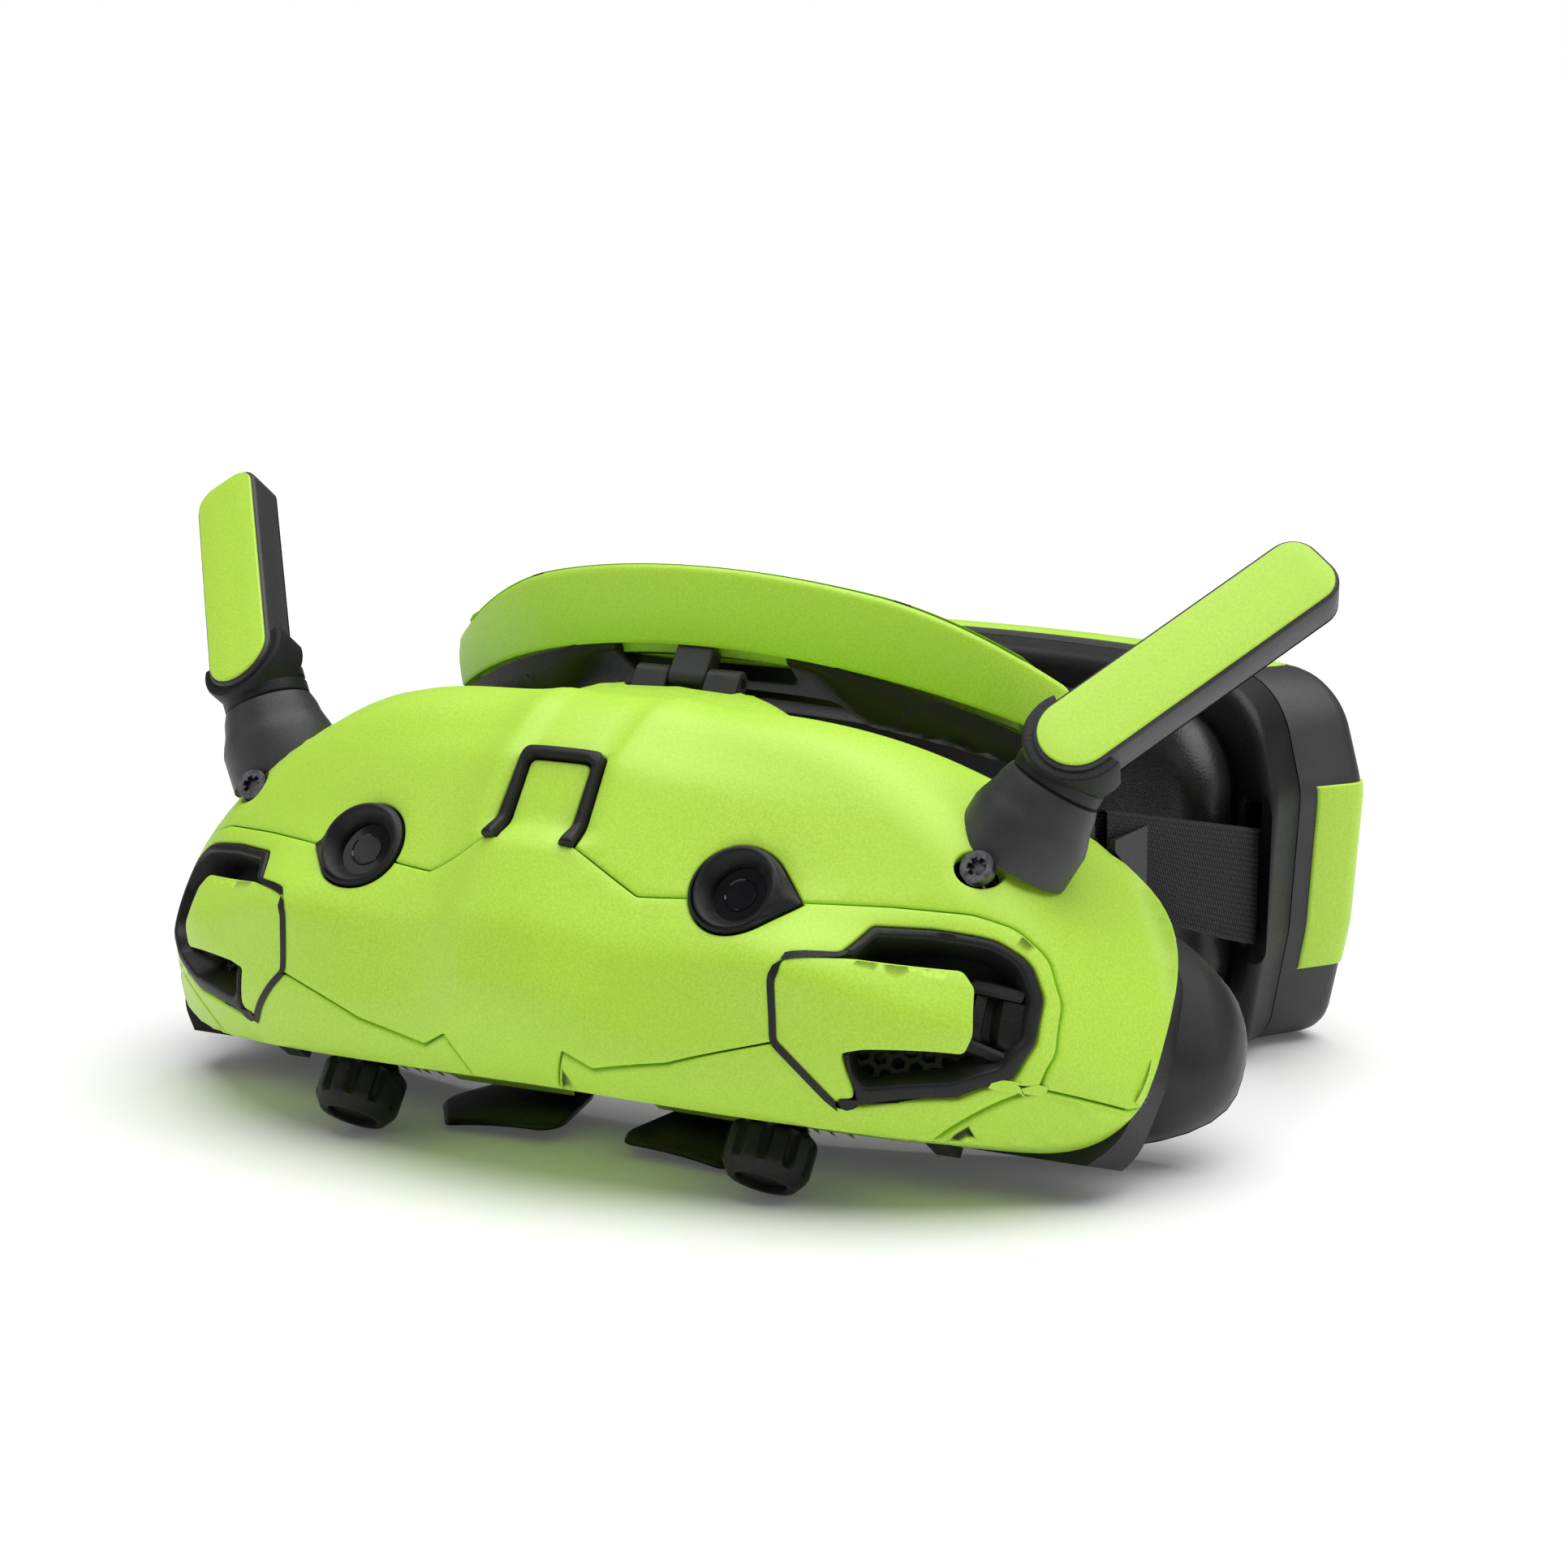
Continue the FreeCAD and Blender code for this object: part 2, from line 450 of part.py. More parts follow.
def on_paddle(shape):
    """Puts a shape drawn flat, with X along the paddle and Z out of its face, on the right antenna."""
    x, y, z, o = PADDLE_WAY, ACROSS, FACE_OUT, PADDLE_ROOT
    matrix = FreeCAD.Matrix(x.x, y.x, z.x, o.x, x.y, y.y, z.y, o.y, x.z, y.z, z.z, o.z, 0, 0, 0, 1)
    placed = shape.copy()
    placed.Placement = FreeCAD.Placement(matrix).multiply(placed.Placement)
    return placed


def along_stem(distance):
    return tuple(FOOT + STEM * distance)


base = cone(9.2, 6.9, along_stem(-3.5), along_stem(4.1)).cut(form(-0.05, 60))
root_room = on_paddle(cylinder(8.4, (0, 0, -5.3), (0, 0, 20)))
save_worn("antenna_bases", both(largest(base.cut(root_room))))
save_worn("upper_front_shell", largest(upper_shell.cut([root_room, mirrored(root_room)])))
collar = cylinder(6.8, along_stem(4.2), along_stem(12.5))
collar = collar.cut([root_room, form(-0.05, 60)])
save_worn("antenna_collars", both(largest(collar)))
paddle = plan_prism([(-1, -6.3), (-1, 6.3), (PADDLE_LENGTH, 6.3), (PADDLE_LENGTH, -6.3)], 4.2, -4.2, 1.9)
paddle = paddle.fuse([cylinder(6.3, (0, 0, -4.2), (0, 0, 1.9)),
                      cylinder(8.0, (0, 0, -5.0), (0, 0, 1.4)).common(box(-9, 1.5, -9, 9, -6, 3))])
skin = plan_prism([(-1, -5.6), (-1, 5.6), (PADDLE_LENGTH - 0.7, 5.6), (PADDLE_LENGTH - 0.7, -5.6)], 3.6, 1.9, 2.8)
skin = skin.fuse(cylinder(5.6, (0, 0, 1.9), (0, 0, 2.8)))
for name, shape in (("antenna_paddle", on_paddle(paddle)), ("antenna_face", on_paddle(skin))):
    save_worn(name + "_right", shape)
    save_worn(name + "_left", mirrored(shape))


# ---- head straps, table frame ----
def ribbon(path, thickness, z0, z1):
    """A band standing on edge that follows a path in plan."""
    sides = ([], [])
    for i, (x, y) in enumerate(path):
        ax, ay = path[max(0, i - 1)]
        bx, by = path[min(len(path) - 1, i + 1)]
        length = math.hypot(bx - ax, by - ay)
        nx, ny = (by - ay) / length * thickness / 2, -(bx - ax) / length * thickness / 2
        sides[0].append((x + nx, y + ny))
        sides[1].append((x - nx, y - ny))
    return plan_prism(sides[0] + sides[1][::-1], 30, z0, z1)


band_side = rounded_face(STRAP_TOP + STRAP_FOOT, 1, lambda a, b: Vector(0, a, b))
band_side = raised(band_side, Vector(120, 0, 0))
strap = ribbon([(STRAP_X, 40), (TAIL_X - 0.4, 92), (TAIL_X, 113)], STRAP_THICK, -40, 20).common(band_side)
anchor = box(STRAP_X - 4.5, STRAP_X + 2.6, 47, 62, -8, 3)
body_room = form(-0.2, CHASSIS_BACK)
body_room.rotate(ORIGIN, X_AXIS, -PITCH)
shield_room = shield_loft(-0.3)
shield_room.rotate(ORIGIN, X_AXIS, -PITCH)
save_table("strap_anchors", both(largest(anchor.cut([strap, body_room, shield_room]))))
save_table("head_straps", both(largest(strap.cut([shield_room, body_room]))))


# ---- battery box on the headband, table frame ----
def arc_block(r0, r1, inset=0.0, flared=False):
    """The box between two radii; its ends run parallel, or flare out along the radii."""
    low, high, wide = TABLE + inset, TABLE + BOX_HEIGHT - inset, BOX_HALF - inset
    outline = [(wide - 6, high), (wide, high - 18), (wide - 2.0, low + 22), (wide - 7, low)]
    wires = []
    for y in (60, 200):
        grow = (y - BOX_ARC_Y) / BOX_FLARE if flared else 1.0
        wires.append(rounded_face(mirror_line(outline), 10, lambda a, b: Vector(a * grow, y, b)).OuterWire)
    solid = Part.makeLoft(wires, True, True)
    outer = cylinder(r1, (0, BOX_ARC_Y, -100), (0, BOX_ARC_Y, 100))
    inner = cylinder(r0, (0, BOX_ARC_Y, -100), (0, BOX_ARC_Y, 100))
    return largest(solid.common(outer).cut(inner))


def dial_at(radius, y0, y1):
    """A cylinder on the dial's axis."""
    return cylinder(radius, (0, y0, TABLE + DIAL_Z), (0, y1, TABLE + DIAL_Z))


strap_room = box(TAIL_X - 2.7, TAIL_X + 1.5, 80, 128.5, -25.4, -1.2)
strap_rooms = [strap_room, mirrored(strap_room)]
inner_cover = arc_block(BOX_INNER_R, BOX_SPLIT_R - 0.1).cut(arc_block(BOX_INNER_R + 2.2, 140, 2.2)).cut(strap_rooms)
save_table("battery_inner_cover", inner_cover)
outer_back = BOX_ARC_Y + BOX_OUTER_R
button_hole = cylinder(4.1, (BUTTON_X, 120, TABLE + BUTTON_Z), (BUTTON_X, 200, TABLE + BUTTON_Z))
port = box(-34.5, -25.5, 120, 200, TABLE + BUTTON_Z - 1.7, TABLE + BUTTON_Z + 1.7)
outer_cover = arc_block(BOX_SPLIT_R + 0.1, BOX_OUTER_R, 0.0, True)
outer_cover = outer_cover.cut(arc_block(100, BOX_OUTER_R - 2.2, 2.2, True))
outer_cover = outer_cover.cut(strap_rooms + [dial_at(13.2, outer_back - 1.4, 200), dial_at(2.05, 120, 200),
                                             button_hole, port])
save_table("battery_outer_cover", largest(outer_cover))
rear_pad = front_prism([(-58, TABLE + 5), (-58, TABLE + 60), (58, TABLE + 60), (58, TABLE + 5)], 12, 60, 200)
rear_pad = rear_pad.common(cylinder(BOX_INNER_R - 0.2, (0, BOX_ARC_Y, -100), (0, BOX_ARC_Y, 100)))
rear_pad = rear_pad.cut(cylinder(BOX_INNER_R - 9, (0, BOX_ARC_Y, -100), (0, BOX_ARC_Y, 100)))
save_table("rear_pad", largest(rear_pad))
pack = []
for turn in (-15.5, 15.5):
    pouch = box(-27, 27, 124.9, 132.6, TABLE + 4, TABLE + 38)
    pouch.translate(Vector(0, BOX_ARC_Y, 0))
    pouch.rotate(Vector(0, BOX_ARC_Y, 0), Z_AXIS, turn)
    pack.append(pouch)
save_table("battery_cells", Part.Compound(pack))
dial = dial_at(12.6, outer_back - 1.2, outer_back + 3).fuse([dial_at(2.0, 134, outer_back),
                                                             dial_at(PINION_R - 0.9, 135.5, 138.5)])
for tooth_index in range(14):
    tooth = box(-0.55, 0.55, 135.5, 138.5, PINION_R - 1.5, PINION_R + 0.5)
    tooth.rotate(ORIGIN, Y_AXIS, 360 / 14 * (tooth_index + 0.5))
    tooth.translate(Vector(0, 0, TABLE + DIAL_Z))
    dial = dial.fuse(tooth)
grips = []
for grip_index in range(24):
    angle = 2 * math.pi * grip_index / 24
    x, z = 12.9 * math.cos(angle), TABLE + DIAL_Z + 12.9 * math.sin(angle)
    grips.append(cylinder(0.8, (x, outer_back + 0.4, z), (x, outer_back + 9, z)))
save_table("headband_dial", dial.cut(grips))
pitch_step = 2 * math.pi * PINION_R / 14
rack = box(-4, 50, 135.7, 138.3, PINION_R + 1.0, PINION_R + 3.4)
for tooth_index in range(-1, 16):
    x = tooth_index * pitch_step
    rack = rack.fuse(box(x - 0.55, x + 0.55, 135.7, 138.3, PINION_R - 0.2, PINION_R + 1.2))
rack = rack.common(box(-4, 50, 100, 200, -20, 20))
rack.translate(Vector(0, 0, TABLE + DIAL_Z))
save_table("strap_rack_right", rack)
opposite = rack.copy()
opposite.rotate(Vector(0, 0, TABLE + DIAL_Z), Y_AXIS, 180)
save_table("strap_rack_left", opposite)
button = cylinder(3.95, (BUTTON_X, 139, TABLE + BUTTON_Z), (BUTTON_X, 150, TABLE + BUTTON_Z))
button = button.common(cylinder(BOX_OUTER_R + 0.8, (0, BOX_ARC_Y, -100), (0, BOX_ARC_Y, 100)))
save_table("power_button", largest(button))
label = arc_block(BOX_OUTER_R + 0.02, BOX_OUTER_R + 0.3, 0.0, True)
label = label.common(box(64, 84, 60, 200, TABLE + 14, TABLE + 47))
save_table("battery_labels", both(label))

for name, shape in nodes.items():
    shape.exportStep("parts/%s.step" % name)
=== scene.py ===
"""Looks for the video goggles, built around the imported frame."""

import json
import math

import bmesh
import bpy
import numpy as np
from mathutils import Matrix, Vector
from mathutils.geometry import delaunay_2d_cdt


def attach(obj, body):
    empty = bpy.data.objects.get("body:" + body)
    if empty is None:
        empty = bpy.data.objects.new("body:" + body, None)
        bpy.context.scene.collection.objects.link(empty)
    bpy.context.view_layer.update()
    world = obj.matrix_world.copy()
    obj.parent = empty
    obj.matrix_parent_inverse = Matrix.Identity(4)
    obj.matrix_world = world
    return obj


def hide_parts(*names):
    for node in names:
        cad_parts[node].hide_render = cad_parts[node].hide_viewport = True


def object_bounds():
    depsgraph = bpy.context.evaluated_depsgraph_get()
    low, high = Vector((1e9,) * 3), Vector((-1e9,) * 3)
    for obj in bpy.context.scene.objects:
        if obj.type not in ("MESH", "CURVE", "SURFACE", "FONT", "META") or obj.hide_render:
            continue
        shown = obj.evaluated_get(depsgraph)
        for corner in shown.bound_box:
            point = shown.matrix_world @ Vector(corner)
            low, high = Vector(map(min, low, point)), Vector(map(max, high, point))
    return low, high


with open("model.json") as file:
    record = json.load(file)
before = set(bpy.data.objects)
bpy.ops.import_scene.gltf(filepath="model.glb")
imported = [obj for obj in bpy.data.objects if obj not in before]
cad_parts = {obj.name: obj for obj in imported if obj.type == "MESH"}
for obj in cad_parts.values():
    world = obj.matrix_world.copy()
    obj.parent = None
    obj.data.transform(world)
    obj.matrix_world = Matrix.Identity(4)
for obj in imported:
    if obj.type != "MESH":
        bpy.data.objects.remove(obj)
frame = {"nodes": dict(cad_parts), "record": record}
cad_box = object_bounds()

# ---- the two drawing frames, in millimetres, and their way into the row frame ----
PITCH = math.radians(36.0)
COS, SIN = math.cos(PITCH), math.sin(PITCH)
SHIFT_Y, LIFT_Z = -69.05, 46.5
MM = 0.001


def worn(x, y, z):
    """A point of the worn frame: X viewer's right, Y towards the face, Z up the face."""
    return Vector((x, y * COS + z * SIN + SHIFT_Y, -y * SIN + z * COS + LIFT_Z)) * MM


def table(x, y, z):
    """A point of the table frame, whose Z is straight up."""
    return Vector((x, y + SHIFT_Y, z + LIFT_Z)) * MM


def clamp(value, low=0, high=1):
    return max(low, min(high, value))


def ease(t):
    t = clamp(t)
    return t * t * (3 - 2 * t)


def turns(count):
    """Evenly spaced angles once round."""
    return [2 * math.pi * k / count for k in range(count)]


# ---- materials ----
class Nodes:
    """Short names for building one node material."""

    def __init__(self, name):
        self.material = bpy.data.materials.new(name)
        self.material.use_nodes = True
        self.tree = self.material.node_tree
        self.shader = self.tree.nodes["Principled BSDF"]
        self.place = self.add("ShaderNodeTexCoord").outputs["Object"]

    def add(self, kind, **values):
        node = self.tree.nodes.new(kind)
        for key, value in values.items():
            setattr(node, key, value)
        return node

    def link(self, a, b):
        self.tree.links.new(a, b)

    def feed(self, socket, value):
        """Sets a socket to a number or a colour, or links it."""
        if isinstance(value, (int, float)):
            socket.default_value = value
        elif isinstance(value, tuple):
            socket.default_value = (*value, 1)
        else:
            self.link(value, socket)

    def noise(self, scale, detail=2, rough=0.5):
        node = self.add("ShaderNodeTexNoise")
        node.inputs["Scale"].default_value = scale
        node.inputs["Detail"].default_value = detail
        node.inputs["Roughness"].default_value = rough
        self.link(self.place, node.inputs["Vector"])
        return node.outputs["Fac"]

    def spread(self, value, a, b, lo=0, hi=1):
        node = self.add("ShaderNodeMapRange")
        node.inputs["From Min"].default_value = lo
        node.inputs["From Max"].default_value = hi
        node.inputs["To Min"].default_value = a
        node.inputs["To Max"].default_value = b
        self.link(value, node.inputs["Value"])
        return node.outputs["Result"]

    def mix(self, factor, a, b):
        node = self.add("ShaderNodeMix", data_type="RGBA")
        for socket, value in ((node.inputs[0], factor), (node.inputs[6], a), (node.inputs[7], b)):
            self.feed(socket, value)
        return node.outputs[2]

    def shade(self, value, dark, light, lo=0.35, hi=0.7):
        """A colour between two, by a value's place between lo and hi."""
        return self.mix(self.spread(value, 0, 1, lo, hi), dark, light)

    def math(self, kind, a, b=0):
        node = self.add("ShaderNodeMath", operation=kind)
        for socket, value in zip(node.inputs, (a, b)):
            self.feed(socket, value)
        return node.outputs[0]

    def bump(self, height, strength, distance, under=None):
        node = self.add("ShaderNodeBump")
        node.inputs["Strength"].default_value = strength
        node.inputs["Distance"].default_value = distance
        self.link(height, node.inputs["Height"])
        if under:
            self.link(under, node.inputs["Normal"])
        return node.outputs["Normal"]

    def finish(self, colour, rough=None, normal=None, **fixed):
        for value, name in ((colour, "Base Color"), (rough, "Roughness"), (normal, "Normal")):
            if value is not None:
                self.link(value, self.shader.inputs[name])
        for key, value in fixed.items():
            self.shader.inputs[key.replace("_", " ")].default_value = value
        return self.material


def skin_material():
    """Coloured vinyl-like skin: satin, with a fine grain and faint unevenness."""
    n = Nodes("lime_skin")
    fine = n.noise(5200, 2, 0.6)
    speck = n.noise(2600, 1, 0.5)
    cloud = n.noise(28, 2, 0.5)
    tone = n.shade(speck, (0.455, 0.74, 0.052), (0.53, 0.84, 0.078), 0.32, 0.68)
    tone = n.mix(n.spread(cloud, 0, 0.35, 0.35, 0.75), tone, (0.47, 0.78, 0.050))
    normal = n.bump(fine, 0.18, 0.00008, n.bump(cloud, 0.03, 0.0006))
    return n.finish(tone, n.spread(speck, 0.37, 0.50, 0.3, 0.7), normal, Specular_IOR_Level=0.42,
                    Sheen_Weight=0.05)


def plastic(name, dark, light, rough, grain, bump, worn_edge=0, shine=0.5):
    """Moulded plastic with a spark texture and edges that have worn a little."""
    n = Nodes(name)
    spark = n.noise(grain, 3, 0.65)
    cloud = n.noise(60, 3, 0.6)
    tone = n.shade(cloud, dark, light)
    if worn_edge:
        edge = n.spread(n.add("ShaderNodeNewGeometry").outputs["Pointiness"], 0, worn_edge, 0.52, 0.62)
        tone = n.mix(edge, tone, tuple(min(1, c * 3.2 + 0.03) for c in light))
    normal = n.bump(spark, bump, 0.00012)
    return n.finish(tone, n.spread(spark, rough - 0.07, rough + 0.07, 0.3, 0.7), normal,
                    Specular_IOR_Level=shine)


def rubber_material():
    """Soft dark shield: smooth, with faint dust and a slight velvety edge."""
    n = Nodes("shield_rubber")
    dust = n.noise(900, 4, 0.7)
    cloud = n.noise(24, 3, 0.5)
    tone = n.shade(cloud, (0.010, 0.010, 0.011), (0.018, 0.018, 0.020))
    tone = n.mix(n.spread(dust, 0, 0.2, 0.55, 0.75), tone, (0.05, 0.05, 0.052))
    normal = n.bump(n.noise(3000, 2), 0.12, 0.0001, n.bump(cloud, 0.06, 0.001))
    return n.finish(tone, n.spread(cloud, 0.36, 0.50, 0.3, 0.7), normal, Specular_IOR_Level=0.4,
                    Sheen_Weight=0.04, Sheen_Roughness=0.5)


def leather_material():
    """Pad cover: satin black synthetic leather with fine pebble grain."""
    n = Nodes("pad_leather")
    cells = n.add("ShaderNodeTexVoronoi", feature="DISTANCE_TO_EDGE")
    cells.inputs["Scale"].default_value = 1500
    n.link(n.place, cells.inputs["Vector"])
    pebble = n.spread(cells.outputs["Distance"], 0, 1, 0, 0.22)
    cloud = n.noise(40, 3, 0.6)
    tone = n.shade(cloud, (0.010, 0.010, 0.011), (0.020, 0.020, 0.021))
    normal = n.bump(pebble, 0.22, 0.00012, n.bump(cloud, 0.15, 0.0012))
    return n.finish(tone, n.spread(cloud, 0.32, 0.46, 0.3, 0.7), normal, Specular_IOR_Level=0.42)


WEAVE_PITCH = 0.9


def webbing_material():
    """Elastic webbing: a slanted weave laid out along the strap's own UV, in millimetres."""
    n = Nodes("strap_webbing")
    per_mm = math.pi / WEAVE_PITCH
    uv = n.add("ShaderNodeUVMap").outputs["UV"]
    split = n.add("ShaderNodeSeparateXYZ")
    n.link(uv, split.inputs[0])
    along, across = split.outputs[0], split.outputs[1]
    lean = n.math("MULTIPLY", n.math("ADD", along, n.math("MULTIPLY", across, 0.5)), per_mm)
    ribs = n.math("MULTIPLY", across, per_mm)
    warp = n.math("ABSOLUTE", n.math("SINE", lean))
    weft = n.math("ABSOLUTE", n.math("SINE", ribs))
    height = n.math("MULTIPLY", warp, weft)
    fuzz = n.noise(5000, 3, 0.7)
    # painted shade between the threads: the colour darkens from the weave's crests down into its dips
    tone = n.shade(height, (0.002, 0.002, 0.003), (0.026, 0.026, 0.028), 0.1, 0.9)
    tone = n.mix(n.spread(fuzz, 0, 0.3, 0.5, 0.75), tone, (0.045, 0.045, 0.048))
    normal = n.bump(height, 0.9, 0.0007, n.bump(fuzz, 0.4, 0.0001))
    return n.finish(tone, n.spread(fuzz, 0.7, 0.9), normal, Specular_IOR_Level=0.25,
                    Sheen_Weight=0.06)


def glass_material():
    n = Nodes("clear_glass")
    smear = n.noise(160, 4, 0.6)
    tone = n.shade(smear, (0.004, 0.004, 0.005), (0.008, 0.008, 0.011), 0.4, 0.7)
    return n.finish(tone, n.spread(smear, 0.05, 0.13, 0.3, 0.7), Coat_Weight=0.15,
                    Coat_Roughness=0.04, Specular_IOR_Level=0.4)


def metal_material(name, dark, light, rough):
    n = Nodes(name)
    grain = n.noise(900, 4, 0.6)
    tone = n.shade(grain, dark, light, 0.35, 0.65)
    shine = n.spread(grain, rough - 0.08, rough + 0.08, 0.3, 0.7)
    return n.finish(tone, shine, n.bump(grain, 0.1, 0.0001), Metallic=1)


BY_SLOT = {
    "lime_skin": skin_material(),
    "black_plastic": plastic("black_plastic", (0.005, 0.005, 0.006), (0.011, 0.011, 0.012),
                             rough=0.48, grain=2300, bump=0.55, worn_edge=0.10, shine=0.30),
    "grey_plastic": plastic("grey_plastic", (0.026, 0.026, 0.028), (0.040, 0.040, 0.043),
                            rough=0.46, grain=2600, bump=0.32, worn_edge=0.12, shine=0.40),
    "shield_rubber": rubber_material(),
    "pad_leather": leather_material(),
    "strap_webbing": webbing_material(),
    "clear_glass": glass_material(),
    "steel": metal_material("dark_steel", (0.10, 0.10, 0.11), (0.20, 0.20, 0.21), rough=0.38),
    "alloy": metal_material("alloy", (0.50, 0.50, 0.52), (0.66, 0.66, 0.68), rough=0.35),
    "board": plastic("board", (0.012, 0.07, 0.035), (0.02, 0.10, 0.05), rough=0.35, grain=800, bump=0.1),
    "cell_wrap": plastic("cell_wrap", (0.15, 0.17, 0.20), (0.22, 0.24, 0.28), rough=0.35, grain=500,
                         bump=0.1),
}

for part in frame["record"]["subparts"]:
    node = frame["nodes"][part["node"]]
    for index in range(len(node.material_slots)):
        node.material_slots[index].material = BY_SLOT[part["material_slot"]]


def placed(name, data):
    """A new object in the scene."""
    obj = bpy.data.objects.new(name, data)
    bpy.context.scene.collection.objects.link(obj)
    return obj


WELD = 2e-6


def add_piece(name, verts, faces, slot, replaced=(), body="headset", sharp=40):
    """Makes a mesh object in the row frame, in metres, that rides on a body."""
    mesh = bpy.data.meshes.new(name)
    mesh.from_pydata([tuple(v) for v in verts], [], faces)
    mesh.validate()
    bm = bmesh.new()
    bm.from_mesh(mesh)
    bmesh.ops.remove_doubles(bm, verts=bm.verts, dist=WELD)
    bmesh.ops.recalc_face_normals(bm, faces=bm.faces)
    limit = math.radians(sharp)
    for edge in bm.edges:
        if len(edge.link_faces) == 2 and edge.calc_face_angle(0) > limit:
            edge.smooth = False
    for face in bm.faces:
        face.smooth = True
    bm.to_mesh(mesh)
    bm.free()
    mesh.materials.append(BY_SLOT[slot])
    obj = placed(name, mesh)
    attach(obj, body)
    if replaced:
        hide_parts(*replaced)
    return obj


# ---- flat outlines ----
def rounded(points, radius, step=1):
    """A closed outline with rounded corners, sampled no wider than step."""
    out = []
    count = len(points)
    radii = radius if isinstance(radius, (list, tuple)) else [radius] * count
    for i in range(count):
        here = Vector(points[i])
        u = Vector(points[i - 1]) - here
        v = Vector(points[(i + 1) % count]) - here
        room = 0.48 * min(u.length, v.length)
        u.normalize()
        v.normalize()
        angle = math.acos(clamp(u.dot(v), -1, 1))
        if radii[i] <= 0 or angle > math.pi - 0.03:
            out.append(here)
            continue
        reach = min(radii[i] / math.tan(angle / 2), room)
        r = reach * math.tan(angle / 2)
        centre = here + (u + v).normalized() * (r / math.sin(angle / 2))
        a, b = here + u * reach - centre, here + v * reach - centre
        total = math.pi - angle
        steps = max(3, int(r * total / (0.6 * step)) + 1)
        sine = math.sin(total)
        for k in range(steps + 1):
            t = k / steps
            out.append(centre + (a * math.sin((1 - t) * total) + b * math.sin(t * total)) / sine)
    dense = []
    for a, b in zip(out, out[1:] + out[:1]):
        parts = max(1, int((b - a).length / step + 0.5))
        for k in range(parts):
            dense.append(a.lerp(b, k / parts))
    return [(p.x, p.y) for p in dense]


def circle(x, z, radius, count):
    return [(x + radius * math.cos(a), z + radius * math.sin(a)) for a in turns(count)]


def flip(points):
    """An outline mirrored to the other side, still running the same way round."""
    return [(-x, z) for x, z in reversed(points)]


SIDES = (("right", 1), ("left", -1))
MIRRORS = (("right", list), ("left", flip))


def inside(points, polygon):
    """Which points are inside a closed outline."""
    px, pz = points[:, 0][:, None], points[:, 1][:, None]
    a = np.array(polygon)
    b = np.roll(a, -1, axis=0)
    ax, az, bx, bz = a[:, 0], a[:, 1], b[:, 0], b[:, 1]
    crosses = (az > pz) != (bz > pz)
    with np.errstate(divide="ignore", invalid="ignore"):
        x_at = ax + (pz - az) * (bx - ax) / (bz - az)
    return (np.sum(crosses & (px < x_at), axis=1) % 2) == 1


def in_loops(points, loops):
    """Which points are inside an odd number of the loops."""
    within = np.zeros(len(points), int)
    for loop in loops:
        within += inside(points, loop)
    return within % 2 == 1


def triangulate(loops, extra=()):
    """Points and triangles of the plane cut along every loop."""
    points, edges = [], []
    for loop in loops:
        first = len(points)
        points += [Vector(p) for p in loop]
        edges += [(first + i, first + (i + 1) % len(loop)) for i in range(len(loop))]
    points += [Vector(p) for p in extra]
    found = delaunay_2d_cdt(points, edges, [], 0, 1e-5)
    return np.array([(v.x, v.y) for v in found[0]]), np.array([f for f in found[2] if len(f) == 3])


def border_loops(triangles):
    """The directed border of a set of triangles, as loops of point numbers."""
    seen = set()
    for t in triangles:
        for k in range(3):
            seen.add((int(t[k]), int(t[(k + 1) % 3])))
    nexts = {}
    for a, b in seen:
        if (b, a) not in seen:
            nexts.setdefault(a, []).append(b)
    loops = []
    while nexts:
        start = next(iter(nexts))
        loop, here = [], start
        while here in nexts:
            loop.append(here)
            following = nexts[here].pop()
            if not nexts[here]:
                del nexts[here]
            here = following
            if here == start:
                break
        if len(loop) > 5:
            loops.append(loop)
    return loops


def inset_loop(loop, amount):
    """A directed loop (solid on its left) moved into the solid."""
    p = np.array(loop, float)
    before, after = np.roll(p, 1, axis=0), np.roll(p, -1, axis=0)
    d1, d2 = p - before, after - p
    d1 /= np.linalg.norm(d1, axis=1)[:, None] + 1e-12
    d2 /= np.linalg.norm(d2, axis=1)[:, None] + 1e-12
    n1 = np.stack([-d1[:, 1], d1[:, 0]], 1)
    n2 = np.stack([-d2[:, 1], d2[:, 0]], 1)
    m = n1 + n2
    m /= np.maximum(1e-9, np.linalg.norm(m, axis=1))[:, None]
    stretch = 1.0 / np.maximum(0.6, np.sum(m * n1, axis=1))
    return p + m * (amount * stretch)[:, None]


CLOSEST = 0.25


def even_loop(points, step):
    """A loop resampled so that no two neighbours are very close."""
    kept = [points[0]]
    for p in points[1:]:
        if math.dist(p, kept[-1]) > step:
            kept.append(p)
    if math.dist(kept[0], kept[-1]) < step:
        kept.pop()
    return kept


